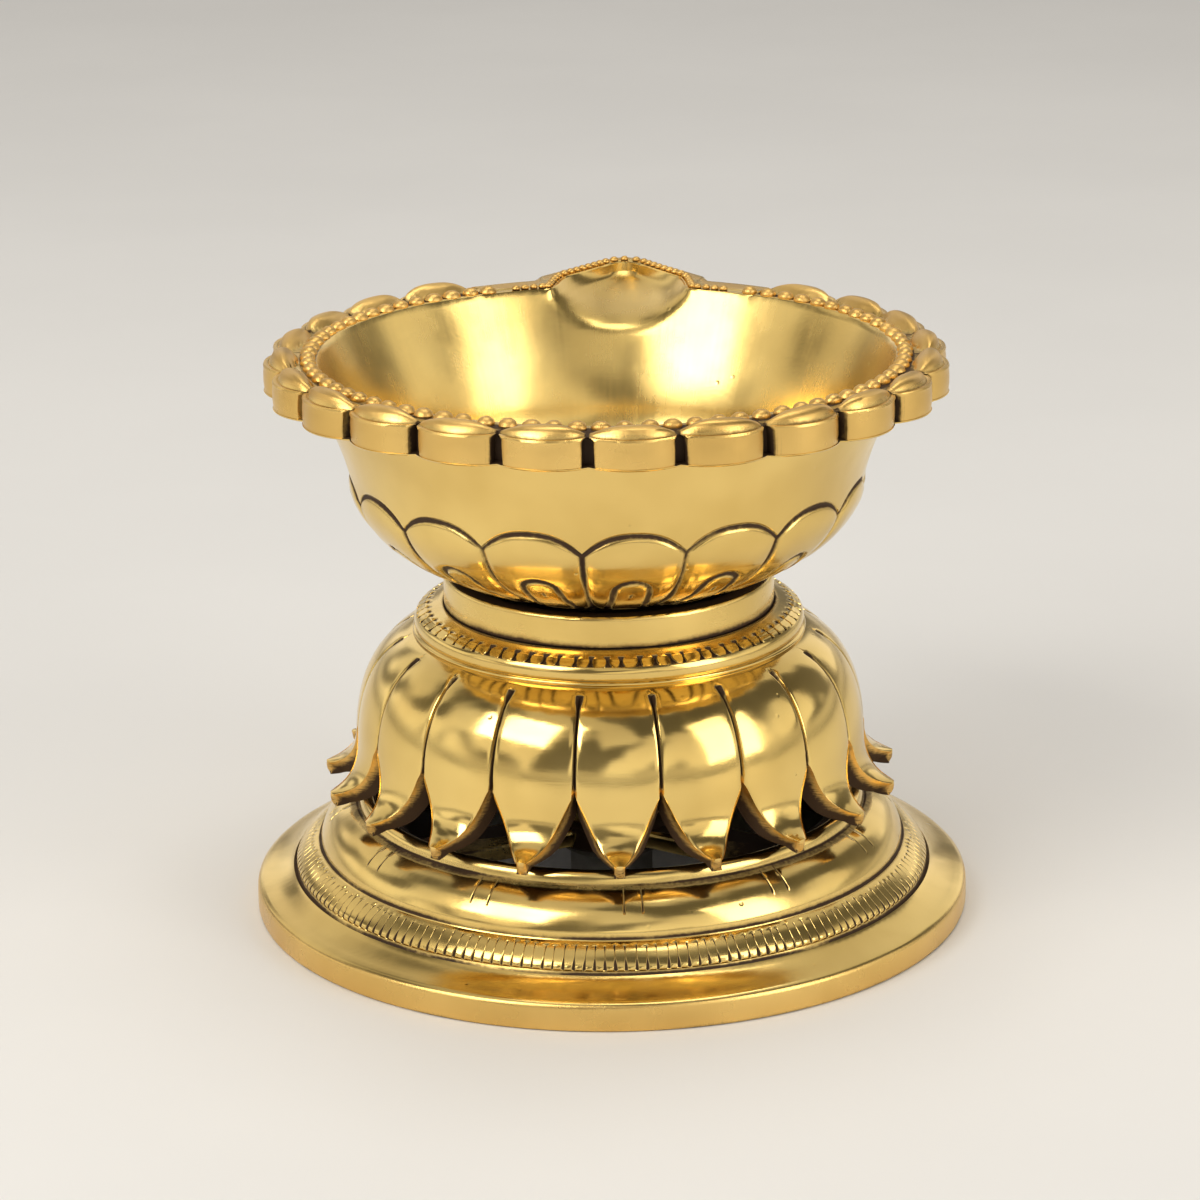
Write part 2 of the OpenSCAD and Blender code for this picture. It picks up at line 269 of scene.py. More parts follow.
def repeat_round(piece, count):
    """Copies the whole piece round the axis until it stands count times."""
    edit_all(piece)
    arc = math.radians(FULL_TURN*(count - 1)/count)
    bpy.ops.mesh.spin(steps=count - 1, angle=arc, dupli=True, center=(0, 0, 0), axis=(0, 0, -1))
    clear_bench()


def turn_piece(piece, degrees):
    """Turns a piece's places about the axis."""
    radius, turn, height = to_polar(read_places(piece))
    write_places(piece, from_polar(radius, turn + degrees, height))


def lay_sheet(name, rows):
    """Lays a grid's vertices at rows of (radius, turn, height, tarnish and painted shade, filed, band)
    spots.
    """
    clear_bench()
    bpy.ops.mesh.primitive_grid_add(x_subdivisions=len(rows[0]) - 1, y_subdivisions=len(rows) - 1, size=MM)
    piece = name_piece(name)
    spots = np.array(rows, float).reshape(-1, 6)
    write_places(piece, from_polar(spots[:, 0], spots[:, 1], spots[:, 2]))
    for mark, values in zip(("patina_and_shade", "filed", "band"), spots[:, 3:].T):
        write_mark(piece, mark, values)
    return piece


def join(pieces):
    take_up(pieces[0])
    for piece in pieces[1:]:
        piece.select_set(True)
    if len(pieces) > 1:
        bpy.ops.object.join()
    return pieces[0]


def weld(piece):
    """Merges what meets and turns all faces outwards."""
    edit_all(piece)
    bpy.ops.mesh.remove_doubles(threshold=WELD_REACH*MM)
    bpy.ops.mesh.dissolve_degenerate(threshold=WELD_REACH*MM/10)
    bpy.ops.mesh.select_all(action="SELECT")
    bpy.ops.mesh.normals_make_consistent(inside=False)
    clear_bench()


def turn_on_lathe(name, points, steps):
    """Draws a section and spins it once round into a closed piece."""
    piece = draw_profile(name, points)
    spin(piece, (FULL_TURN, steps))
    weld(piece)
    return piece


def draws(pick, low, high, count):
    """One random value for each of the marks or lobes of a round."""
    return np.array([pick(low, high) for _ in range(count)])


def sink_in(radius, height, chosen, depth, inwards):
    """Sinks the chosen places by a depth that is shared out inwards and downwards."""
    radius[chosen] -= (depth*inwards[0])[chosen]
    height[chosen] -= (depth*inwards[1])[chosen]


def darken(patina_and_shade, chosen, dark):
    """Raises the patina of the chosen places to at least a given depth."""
    patina_and_shade[chosen] = np.maximum(patina_and_shade, dark)[chosen]


def cut_with(piece, tool, operation):
    """Applies a boolean of the tool to the piece and throws the tool away."""
    take_up(piece)
    modifier = piece.modifiers.new("cut", "BOOLEAN")
    modifier.operation = operation
    modifier.object = tool
    modifier.solver = "EXACT"
    bpy.ops.object.modifier_apply(modifier=modifier.name)
    bpy.data.objects.remove(tool)


def hand_over(piece, material, body, slot, *nodes):
    """Finishes a piece and puts it in the place of its nodes."""
    take_up(piece)
    bpy.ops.object.shade_smooth_by_angle(angle=SMOOTH_ANGLE)
    weights = piece.modifiers.new("weighted normals", "WEIGHTED_NORMAL")
    weights.keep_sharp = True
    bpy.ops.object.modifier_apply(modifier=weights.name)
    piece.data.materials.clear()
    piece.data.materials.append(material)
    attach(piece, body)
    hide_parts(*nodes)
    clear_bench()


# Node work that the finishes share

def fill(tree, node, inputs):
    """Sets a node's inputs to values or links them to sockets."""
    for key, value in inputs.items():
        if isinstance(value, bpy.types.NodeSocket):
            tree.links.new(value, node.inputs[key])
        else:
            node.inputs[key].default_value = value


def put(tree, kind, inputs=None, **settings):
    """Adds a shader node with its settings and its inputs."""
    made = tree.nodes.new("ShaderNode" + kind)
    for name, value in settings.items():
        setattr(made, name, value)
    fill(tree, made, inputs or {})
    return made


def calc(tree, operation, *values):
    inputs = dict(enumerate(values))
    return put(tree, "Math", inputs, operation=operation).outputs[0]


def ramp(tree, value, low, high, to_low=0.0, to_high=1.0):
    """Smooth step of a value between two levels."""
    inputs = {"Value": value, "From Min": low, "From Max": high, "To Min": to_low, "To Max": to_high}
    return put(tree, "MapRange", inputs, interpolation_type="SMOOTHSTEP").outputs["Result"]


def blend_colour(tree, share, first, second, how="MIX"):
    inputs = {0: share, 6: first, 7: second}
    return put(tree, "Mix", inputs, data_type="RGBA", blend_type=how).outputs[2]


def noise(tree, vector, scale, detail=2.0, roughness=0.5):
    inputs = {"Vector": vector, "Scale": scale, "Detail": detail, "Roughness": roughness}
    return put(tree, "TexNoise", inputs).outputs["Fac"]


def new_group(name, inputs, outputs):
    """Starts a node group with named sockets, given as (name, kind, default)."""
    group = bpy.data.node_groups.new(name, "ShaderNodeTree")
    for label, kind, default in inputs:
        socket = group.interface.new_socket(label, in_out="INPUT", socket_type="NodeSocket" + kind)
        socket.default_value = default
    for label, kind in outputs:
        group.interface.new_socket(label, in_out="OUTPUT", socket_type="NodeSocket" + kind)
    start = group.nodes.new("NodeGroupInput")
    end = group.nodes.new("NodeGroupOutput")
    return group, start.outputs, end.inputs


def place_group(tree, group, inputs):
    made = tree.nodes.new("ShaderNodeGroup")
    made.node_tree = group
    fill(tree, made, inputs)
    return made.outputs


def new_material(name):
    """A material with its node tree and its shader."""
    material = bpy.data.materials.new(name)
    material.use_nodes = True
    tree = material.node_tree
    return material, tree, tree.nodes["Principled BSDF"]


# Scales of the patterns in the finishes, as repeats in a metre
WIDE_WAVES, SMALL_WAVES, PIT_CELLS = 95.0, 330.0, 420.0
SCRATCH_TURNS = (0.5, -0.7, 1.9)
SCRATCH_SCALE = (90.0, 2200.0, 2200.0)
GRIT, PATCHES, WORN_PLACES, TONE_DRIFT = 1500.0, 170.0, 55.0, 60.0

# Strength of the file's and the brush's traces, with heights in metres
PIT_STAIN, FILED_GRIME = 0.38, 0.18
BRUSHED_ROUGHNESS, FILED_ROUGHNESS = 0.12, 0.20
BRUSHED_HEIGHT, FILED_HEIGHT = 0.0000025, 0.00004
TARNISH_GLOSS = 0.15


def hand_polish_group():
    """Waves, crossing scratches and casting pits of brass that was polished by hand, as a height."""
    group, given, result = new_group(
        "hand polish",
        [("Waves", "Float", 0.00003), ("Scratches", "Float", 0.000002), ("Pits", "Float", 0.00004)],
        [("Height", "Float"), ("Pit mask", "Float")])
    here = put(group, "TexCoord").outputs["Object"]
    wide = noise(group, here, WIDE_WAVES, 1.5)
    small = noise(group, here, SMALL_WAVES, 2.0)
    waves = calc(group, "MULTIPLY", calc(group, "MULTIPLY_ADD", small, 0.16, wide), given["Waves"])
    lines = None
    for turn in SCRATCH_TURNS:
        stretched = put(group, "Mapping", {"Vector": here, "Rotation": (turn, turn*0.7, turn*1.3),
                                           "Scale": SCRATCH_SCALE}).outputs[0]
        line = noise(group, stretched, 1.0, 3.0, 0.6)
        lines = line if lines is None else calc(group, "MULTIPLY", lines, line)
    scratches = calc(group, "MULTIPLY", lines, calc(group, "MULTIPLY", given["Scratches"], 6.0))
    cells = put(group, "TexVoronoi", {"Vector": here, "Scale": PIT_CELLS}).outputs
    chosen = ramp(group, put(group, "SeparateColor", {"Color": cells["Color"]}).outputs[0], 0.90, 0.97)
    hole = ramp(group, cells["Distance"], 0.05, 0.17, 1.0, 0.0)
    pit = calc(group, "MULTIPLY", hole, chosen)
    height = calc(group, "ADD", waves, scratches)
    height = calc(group, "SUBTRACT", height, calc(group, "MULTIPLY", pit, given["Pits"]))
    group.links.new(height, result["Height"])
    group.links.new(pit, result["Pit mask"])
    return group


def patina_and_shade_group():
    """Tarnish that collects in hollows, and painted shade on hidden insides and undersides, over a tone
    that drifts a little.
    """
    group, given, result = new_group(
        "patina_and_shade",
        [("Tone", "Color", (0.8, 0.5, 0.2, 1)), ("Dark tone", "Color", (0.03, 0.02, 0.01, 1)),
         ("Patina and shade", "Float", 0.0), ("Polish", "Float", 0.16)],
        [("Color", "Color"), ("Roughness", "Float"), ("Metallic", "Float"), ("Dark", "Float")])
    here = put(group, "TexCoord").outputs["Object"]
    grit = noise(group, here, GRIT, 4.0, 0.65)
    patch = noise(group, here, PATCHES, 3.0)
    uneven = calc(group, "MULTIPLY_ADD", grit, 0.7, calc(group, "MULTIPLY_ADD", patch, 0.7, 0.25))
    worn = ramp(group, noise(group, here, WORN_PLACES, 2.0), 0.36, 0.62, 0.62, 1.05)
    stain_and_shade = calc(group, "MULTIPLY", given["Patina and shade"], calc(group, "MULTIPLY", uneven, worn))
    dark = ramp(group, stain_and_shade, 0.22, 0.72)
    drift = ramp(group, noise(group, here, TONE_DRIFT, 3.0), 0.3, 0.7, 0.90, 1.06)
    green, blue = [calc(group, "POWER", drift, power) for power in (1.25, 1.8)]
    drift = put(group, "CombineColor", {0: drift, 1: green, 2: blue}).outputs[0]
    tone = blend_colour(group, 1.0, given["Tone"], drift, "MULTIPLY")
    group.links.new(blend_colour(group, dark, tone, given["Dark tone"]), result["Color"])
    haze = calc(group, "MULTIPLY_ADD", ramp(group, patch, 0.35, 0.75), 0.10, given["Polish"])
    rough = calc(group, "MULTIPLY_ADD", dark, 0.42, haze)
    group.links.new(rough, result["Roughness"])
    group.links.new(calc(group, "SUBTRACT", 1.0, dark), result["Metallic"])
    group.links.new(dark, result["Dark"])
    return group


def brush_group():
    """Fine lines left by brushing or filing, as rays from the axis, as rings round it or level."""
    group, given, result = new_group(
        "brush lines",
        [("Rays", "Float", 60.0), ("Rings", "Float", 40.0), ("Levels", "Float", 0.0)],
        [("Line", "Float")])
    here = put(group, "TexCoord").outputs["Object"]
    parts = put(group, "SeparateXYZ", {0: here}).outputs
    flat = put(group, "CombineXYZ", {0: parts[0], 1: parts[1]}).outputs[0]
    radius = put(group, "VectorMath", {0: flat}, operation="LENGTH").outputs["Value"]
    ray = put(group, "VectorMath", {0: flat}, operation="NORMALIZE").outputs[0]
    way = put(group, "SeparateXYZ", {0: ray}).outputs
    along = calc(group, "MULTIPLY", calc(group, "ADD", radius, parts[2]), given["Rings"])
    along = calc(group, "MULTIPLY_ADD", parts[2], given["Levels"], along)
    across, over = [calc(group, "MULTIPLY", way[i], given["Rays"]) for i in (0, 1)]
    spot = put(group, "CombineXYZ", {0: across, 1: over, 2: along}).outputs[0]
    group.links.new(noise(group, spot, 1.0, 4.0, 0.6), result["Line"])
    return group


class Finishes:
    """The node groups, built once, and the materials that place them."""

    def __init__(self):
        self.polish = hand_polish_group()
        self.patina_and_shade = patina_and_shade_group()
        self.brush = brush_group()

    def mark(self, tree, name):
        return put(tree, "Attribute", attribute_name=name).outputs["Fac"]

    def brass(self, name, looks, polish, waves, rings=0.0, level_file=False):
        """Brass with dark hollows, filed flanks and a brushed inside, where a piece has those marks."""
        material, tree, shader = new_material(name)
        hand = place_group(tree, self.polish, {"Waves": waves})
        filed = self.mark(tree, "filed")
        brushed = self.mark(tree, "brushed")
        tone = blend_colour(tree, filed, (*looks.tone, 1), (*looks.filed_tone, 1))
        strokes = {"Rays": 420.0, "Rings": 90.0}
        if level_file:
            strokes = {"Rays": 40.0, "Rings": 80.0, "Levels": 6500.0}
        scored = place_group(tree, self.brush, strokes)["Line"]
        grime = calc(tree, "MULTIPLY", filed, FILED_GRIME)
        grime = calc(tree, "MULTIPLY", ramp(tree, scored, 0.50, 0.66), grime)
        pitted = calc(tree, "MULTIPLY_ADD", brushed, -PIT_STAIN, PIT_STAIN)
        pitted = calc(tree, "MULTIPLY", hand["Pit mask"], pitted)
        # This mark darkens for tarnish and for painted shade on hidden insides and undersides.
        stain_and_shade = calc(tree, "MAXIMUM", self.mark(tree, "patina_and_shade"), pitted)
        stain_and_shade = calc(tree, "ADD", stain_and_shade, grime)
        coat = place_group(tree, self.patina_and_shade, {
            "Tone": tone, "Dark tone": (*looks.patina_and_shade_tone, 1), "Patina and shade": stain_and_shade, "Polish": polish})
        rays = place_group(tree, self.brush, {"Rays": 70.0, "Rings": 60.0})["Line"]
        lines = calc(tree, "MULTIPLY", rays, brushed)
        if rings:
            lines = place_group(tree, self.brush, {"Rays": 2.0, "Rings": 5200.0})["Line"]
        rough = calc(tree, "MULTIPLY_ADD", lines, rings or BRUSHED_ROUGHNESS, coat["Roughness"])
        rough = calc(tree, "MULTIPLY_ADD", filed, FILED_ROUGHNESS, rough)
        height = calc(tree, "MULTIPLY_ADD", lines, BRUSHED_HEIGHT, hand["Height"])
        scored = calc(tree, "MULTIPLY", scored, filed)
        height = calc(tree, "MULTIPLY_ADD", scored, FILED_HEIGHT, height)
        bump = put(tree, "Bump", {"Height": height, "Strength": 1.0, "Distance": 1.0}).outputs[0]
        fill(tree, shader, {"Base Color": coat["Color"], "Metallic": coat["Metallic"], "Roughness": rough,
                            "Specular IOR Level": TARNISH_GLOSS, "Normal": bump})
        return material

    def steel(self, looks):
        """Zinc-plated steel with a slightly mottled, yellowed plate."""
        material, tree, shader = new_material("plated_steel")
        hand = place_group(tree, self.polish, {"Waves": 0.000012})
        coat = place_group(tree, self.patina_and_shade, {
            "Tone": (*looks.steel_tone, 1), "Dark tone": (*looks.patina_and_shade_tone, 1),
            "Patina and shade": self.mark(tree, "patina_and_shade"), "Polish": 0.30})
        bump = put(tree, "Bump", {"Height": hand["Height"], "Strength": 1.0, "Distance": 1.0}).outputs[0]
        fill(tree, shader, {"Base Color": coat["Color"], "Metallic": coat["Metallic"],
                            "Roughness": coat["Roughness"], "Normal": bump})
        return material


FINISHES = Finishes()


# Settings that a user would change

def colour(name, description, default):
    return FloatVectorProperty(name=name, description=description, default=default, subtype="COLOR",
                               min=0, max=1)


def length(name, description, millimetres):
    return FloatProperty(name=name, description=description, default=millimetres*MM, unit="LENGTH",
                         subtype="DISTANCE", precision=5)


def tally(name, description, default):
    return IntProperty(name=name, description=description, default=default)


def angle(name, description, degrees):
    return FloatProperty(name=name, description=description, default=math.radians(degrees), subtype="ANGLE")


class BrassLooks(bpy.types.PropertyGroup):
    """Colours of the metals."""
    tone: colour("Brass", "Colour of the polished brass", (0.84, 0.60, 0.20))
    filed_tone: colour("Filed brass", "Colour of the filed flanks of the petals", (0.78, 0.49, 0.15))
    # This colour also paints the shade on the hidden insides, low on the bowl and under the beads.
    patina_and_shade_tone: colour("Patina and shade", "Colour of the tarnish in the hollows", (0.055, 0.031, 0.016))
    steel_tone: colour("Steel", "Colour of the plated steel", (0.55, 0.54, 0.50))


class FootLooks(bpy.types.PropertyGroup):
    """Ornament of the foot."""
    hatch_marks: tally("Hatch marks", "Chased marks round the lower roll", 200)
    hatch_depth: length("Hatch depth", "Depth of a chased mark at its lower end", 0.26)
    stroke_pairs: tally("Stroke pairs", "Pairs of strokes on the rounded step", 12)
    stroke_turn: angle("Stroke turn", "Turn of the first pair of strokes from the front", 7.1)


class DomeLooks(bpy.types.PropertyGroup):
    """Ornament of the lotus dome."""
    petals: tally("Petals", "Number of petals", 19)
    petal_turn: angle("Petal turn", "Turn of the first petal from the front", 4.6)
    notches: tally("Notches", "Nicks in the shoulder round the collar", 76)
    notch_depth: length("Notch depth", "Depth of a nick at the shoulder's edge", 0.5)


class BowlLooks(bpy.types.PropertyGroup):
    """Ornament of the bowl."""
    lobes: tally("Lobes", "Lobes in a full round of the rim", 24)
    relief_petals: tally("Relief petals", "Petals chased on the underside", 16)
    relief_turn: angle("Relief turn", "Turn of the first relief petal from the front", 8.7)
    beads: tally("Beads", "Beads in a full round inside the lobes", 84)
    bead_size: length("Bead size", "Width of a bead", 2.25)


class StudioLooks(bpy.types.PropertyGroup):
    """The floor, the light and the view."""
    floor_tone: colour("Floor", "Colour of the floor", (0.80, 0.79, 0.77))
    lens: FloatProperty(name="Lens", description="Focal length in millimetres", default=115.18,
                        subtype="NONE")
    view_turn: angle("View turn", "Turn of the view round the lamp from the front", 3.1)


# The foot

def foot_outline():
    """The foot's section as (radius, height, tarnish and painted shade, band): band 1 to 2 is the roll, 3
    to 4 the step.
    """
    points = [(FOOT_R - 0.7, 0.0, 0.7), (FOOT_R - 0.15, 0.15, 0.45), (FOOT_R, 0.6, 0.2),
              (FOOT_R, 1.9, 0.05), (FOOT_R - 0.04, 3.1, 0), (FOOT_R - 0.17, 3.55, 0),
              (FOOT_R - 0.5, 3.86, 0), (FOOT_R - 0.95, 4.04, 0)]
    slope = Line(swell((FOOT_R, 3.9), (44.6, 5.9), -0.3, 16))
    for share in (0.30, 0.42, 0.54, 0.66, 0.78, 0.88):
        points.append((*slope.at(share*slope.length), 0.0))
    points += [(44.86, 5.80, 0.20), (44.74, 5.62, 0.85), (44.52, 5.56, 0.95), (44.36, 5.80, 0.85)]
    roll = Line([(44.22, 6.1), (44.36, 6.28), (44.40, 6.5)] + swell((44.36, 6.75), (41.62, 9.1), 0.22, 12)
                + [(41.45, 9.16), (41.3, 9.18)])
    for share in (0, 0.05, 0.09, 0.12, 0.2, 0.28, 0.36, 0.43, 0.53, 0.62, 0.69, 0.75, 0.80, 0.84, 0.91, 1):
        points.append((*roll.at(share*roll.length), 0.4*(1 - share)**12 + 0.3*share**12, 1 + share))
    points += [(41.22, 9.31, 0.5), (41.04, 9.27, 0.9), (40.87, 9.40, 0.85), (40.82, 9.68, 0.45)]
    step = swell((40.85, 9.95), (35.95, 14.75), 0.92, 14)
    for i, place in enumerate(step):
        share = i/(len(step) - 1)
        points.append((*place, 0.3*(1 - share)**8 + 0.62*ease((share - 0.80)/0.16), 3 + share))
    points += [(35.85, 14.80, 0.75), (35.66, 14.72, 0.8), (35.48, 14.86, 0.7)]
    for i in range(10):
        a = math.pi*i/9
        points.append((34.26 + 1.18*math.cos(a), 15.02 + 1.42*math.sin(a), 0.3*(i < 2) + 0.5*(i > 7)))
    # The inner ledge, the inner walls and the underside are darkened: dark as-cast tarnish and painted
    # shade inside the hollow foot.
    points += [(33.0, 14.95, 1.3), (31.7, 14.95, 1.5), (31.1, 14.5, 1.5),
               (31.1, 12.6, 1.5), (33.3, 12.6, 1.5), (38.6, 7.2, 1.4), (42.2, 3.5, 1.3),
               (42.2, 0.5, 1.0), (42.7, 0.0, 0.8), points[0]]
    return points


# Shares of a cut's depth that go inwards and downwards, square to the roll and to the step
ROLL_INWARDS = (0.72, 0.69)
STEP_INWARDS = (0.70, 0.71)
STROKE_DEPTH = 0.32


def chase_hatching(piece, looks):
    """Cuts the chased marks into the roll and the stroke pairs into the step."""
    radius, turn, height = to_polar(read_places(piece))
    patina_and_shade = read_mark(piece, "patina_and_shade")
    band = read_mark(piece, "band")
    pitch = FULL_TURN/looks.hatch_marks
    number = np.round(turn/pitch).astype(int) % looks.hatch_marks
    off = turn - np.round(turn/pitch)*pitch
    centre = np.abs(off) < 0.01
    edge = ~centre & (np.abs(off) < 0.4*pitch)
    draw = random.Random(11)
    depth_of = draws(draw.uniform, 0.75, 1.2, looks.hatch_marks)
    lean_of = draws(draw.gauss, 0.10, 0.16, looks.hatch_marks)
    top_of = draws(draw.uniform, 0.94, 1.02, looks.hatch_marks)

    roll = (band >= 1) & (band <= 2)
    share = np.where(roll, band - 1, 0)/top_of[number]
    places = (0.05, 0.09, 0.20, 0.36, 0.43, 0.62, 0.75, 0.82, 0.86)
    cut = np.interp(share, places, (0, 1, 0.85, 0.5, 0.25, 0.25, 0.65, 0.85, 0))
    width = np.interp(share, places, (0.26, 0.29, 0.26, 0.15, 0.07, 0.05, 0.12, 0.18, 0.16))
    width *= depth_of[number]
    to_degrees = np.degrees(1/radius)
    sink = cut*depth_of[number]*looks.hatch_depth/MM
    lean = lean_of[number]*share
    on_mark = roll & (centre | edge)
    turn[on_mark] += ((np.sign(off)*width*edge + lean)*to_degrees - off*edge)[on_mark]
    cutting = roll & centre
    sink_in(radius, height, cutting, sink, ROLL_INWARDS)
    places = (0.05, 0.09, 0.3, 0.45, 0.6, 0.7, 0.82, 0.86)
    dark = np.interp(share, places, (0, 1.5, 1.4, 0.8, 0.7, 1.2, 1.3, 0))
    darken(patina_and_shade, cutting, dark)
    darken(patina_and_shade, roll & edge, 0.22*dark)

    strokes = []
    for i in range(looks.stroke_pairs):
        middle = math.degrees(looks.stroke_turn) + i*FULL_TURN/looks.stroke_pairs
        first = round((middle - pitch)/pitch)
        strokes += [first % looks.hatch_marks, (first + 2) % looks.hatch_marks]
    step = (band >= 3) & (band <= 4) & np.isin(number, strokes)
    share = np.where(step, band - 3, 0)
    cut = np.interp(share, (0.36, 0.44, 0.58, 0.95, 1.0), (0.0, 1.0, 0.45, 0.30, 0.0))
    cutting = step & centre
    sink_in(radius, height, cutting, STROKE_DEPTH*cut, STEP_INWARDS)
    darken(patina_and_shade, cutting, np.minimum(2.4*cut, 1.5))
    beside = step & edge & (cut > 0)
    turn[beside] += (np.sign(off)*(0.10 + 0.12*cut)*to_degrees - off)[beside]
    darken(patina_and_shade, beside, 0.3*cut)
    write_places(piece, from_polar(radius, turn, height))
    write_mark(piece, "patina_and_shade", patina_and_shade)


def make_web(name):
    """The three arms and the hub that carry the middle of the foot, darkened with as-cast tarnish and
    painted shade.
    """
    bore, hub_r, low, top = 3.3, 9.0, 8.8, 12.0
    points = [(bore, low + 0.3, 1.6), (bore + 0.3, low, 1.2), (hub_r - 0.4, low, 1.2),
              (hub_r, low + 0.4, 1.2), (hub_r, top - 0.4, 1.6), (hub_r - 0.4, top, 1.6),
              (bore + 0.3, top, 1.6), (bore, top - 0.3, 1.6)]
    hub = turn_on_lathe(name, points + points[:1], 64)
    for i in range(3):
        clear_bench()
        bpy.ops.mesh.primitive_cube_add(size=MM, location=(0, 22.2*MM, 10.4*MM))
        arm = name_piece("web_arm")
        bpy.ops.transform.resize(value=(8.0, 31.4, 2.4))
        bpy.ops.object.transform_apply(location=True, rotation=False, scale=True)
        edit_all(arm)
        bpy.ops.mesh.bevel(offset=0.5*MM, segments=2, affect="EDGES")
        clear_bench()
        turn_piece(arm, i*FULL_TURN/3)
        # The arms are darkened: as-cast tarnish and painted shade inside the foot.
        write_mark(arm, "patina_and_shade", np.full(len(arm.data.vertices), 1.6))
        cut_with(hub, arm, "UNION")
    return hub


def make_foot(looks, brass):
    pitch = FULL_TURN/looks.hatch_marks
    edge = 0.12*pitch
    foot = draw_profile("foot_casting", foot_outline(), turn=-pitch/2)
    spin(foot, (pitch/2 - edge, 1), (edge, 1), (edge, 1), (pitch/2 - edge, 1))
    repeat_round(foot, looks.hatch_marks)
    weld(foot)
    chase_hatching(foot, looks)
    radius, _, height = to_polar(read_places(foot))
    write_mark(foot, "filed", 0.6*((radius > FOOT_R - 0.3) & (height < 3.6)))
    foot = join([foot, make_web("foot_web")])
    finish = FINISHES.brass("cast_foot_brass", brass, 0.13, 0.00005)
    hand_over(foot, finish, "stand", "cast_brass", "foot")


# The lotus dome

class PetalForm:
    """The curves of one petal, in millimetres, with the top row first."""

    def __init__(self, petals):
        top = curve((NECK_R, NECK_Z), (35.6, 25.0), (0.7, 0.14), (0.96, 0.53), 28)
        tip = curve((35.6, 25.0), (40.12, 19.2), (0.02, 0.56), (0.3, 0.88), 28)
        self.outside = Line(top + tip[1:] + [(40.17, 18.7), (40.1, 18.1), (39.9, 17.6), (39.6, 17.3)])
        inside = curve((39.6, 17.3), (32.6, 25.0), (0.57, 0), (0.97, 0.39), 20)
        inside += curve((32.6, 25.0), (DECK_R, DECK_Z), (0.03, 0.44), (0.34, 0.77), 20)[1:]
        self.inside = Line(inside[::-1])
        self.apex = self.outside.run_at_height(27.5)
        self.inner_apex = self.inside.run_at_height(27.0)
        self.tip = self.outside.run_at_height(19.2)
        self.half = FULL_TURN/petals/2
        self.above = 15
        self.below = 17

    def opening(self, run):
        """Share of the pitch that an opening between petals takes up, and how far its wall leans out."""
        share = min(max((run - self.apex)/(self.tip - self.apex), 0), 1)
        return 0.89*share**1.1, 1.2*min(share/0.2, (1 - share)/0.25, 1)

    def runs(self, line, apex_run):
        """Lengths along a line for the rows above and below the apex of the opening."""
        steps = [0.0, 0.7, 1.3, 1.5, 2.0]
        steps += [mix(2.6, apex_run, i/(self.above - 5)) for i in range(self.above - 5)]
        for i in range(self.below + 1):
            steps.append(mix(apex_run, line.length, 1 - (1 - i/self.below)**1.25))
        return steps


def petal_outer_row(form, k, run):
    """A row across a petal's outer face, from the bottom of one slit to the bottom of the next."""
    edge_in, rim_in, bevel = 0.02, 0.22, 0.07
    end_round, end_patina = 0.5, 0.42
    apex = form.apex
    opened = k > form.above
    place = form.outside.at(run)
    out = form.outside.left(run)
    slit = np.interp(run, (1.3, 1.5, 2.4, 4.0, apex - 2.5, apex), (0, 0.46, 0.42, 0.26, 0.25, 0.32))
    sunk = np.interp(run, (1.3, 1.5, 2.2, apex, apex + 1.2), (0, 0.8, 1.0, 0.9, 0.10))
    crown = np.interp(run, (0, 2.5, apex, form.outside.length), (0, 0.12, 0.22, 0.12))
    at_end = ease((run - form.tip + 0.1)/0.4)
    step = math.degrees(1/place.x)
    edge = min(form.half - math.degrees(slit/place.x), form.half*(1 - form.opening(run)[0]))
    border = edge if opened else form.half
    middle = PETAL_COLUMNS - 3
    turns = [mix(-edge + rim_in*step, edge - rim_in*step, i/(middle - 1)) for i in range(middle)]
    turns = [-border, -edge + edge_in*step] + turns + [edge - edge_in*step, border]
    row = []
    for i, turn in enumerate(turns):
        outermost = i in (0, PETAL_COLUMNS)
        rim = i in (1, PETAL_COLUMNS - 1)
        share = turn/max(edge, 0.01)
        lower = sunk if outermost else crown*share*share + bevel*rim*(run > 1.4)
        spot = place - out*lower - out*(end_round*at_end*share*share)
        if k == 0:
            turn = -form.half + i*2*form.half/PETAL_COLUMNS
            patina_and_shade = 0.2
        elif outermost and not opened:
            patina_and_shade = np.interp(run, (1.3, 1.5), (0, 1.5))
        else:
            # Beside the slit tops the rim columns' bevel is darkened over its highlight: painted shade
            # beside the dark slit.
            patina_and_shade = rim*(not opened)*np.interp(run, (1.2, 1.5, 2.6, 3.5), (0, 0.8, 0.8, 0.25))
        filed = 1.0 if outermost and opened else at_end
        row.append((spot.x, turn, spot.y, max(patina_and_shade, end_patina*at_end), filed, 0))
    return row


def petal_inner_row(form, k, run, inner_run):
    """A row across a petal's inner face, darkened with as-cast tarnish and painted shade inside the dome.
    """
    inside = form.inside.at(inner_run)
    edge = form.half
    if k > form.above:
        opening, lean = form.opening(run)
        edge = min(form.half*(1 - opening) + math.degrees(lean/inside.x), form.half)
    turns = [mix(-edge, edge, i/PETAL_COLUMNS) for i in range(PETAL_COLUMNS + 1)]
    # Full darkening on the whole inner face: as-cast tarnish and painted shade.
    return [(inside.x, turn, inside.y, 1.6, 0.0, 0) for turn in turns]


def petal_wall_row(outer, inner):
    """A row across a petal's filed flank, which darkens from its outer to its inner edge: filed tarnish,
    with painted shade deeper into the opening.
    """
    columns = 5
    row = []
    for j in range(columns):
        share = j/(columns - 1)
        spot = [mix(a, b, share) for a, b in zip(outer[:3], inner[:3])]
        # Darker towards the inner edge: painted shade deeper into the opening, over filed tarnish.
        row.append((*spot, mix(0.28, 1.4, share**1.2), 1.0, 0))
    return row


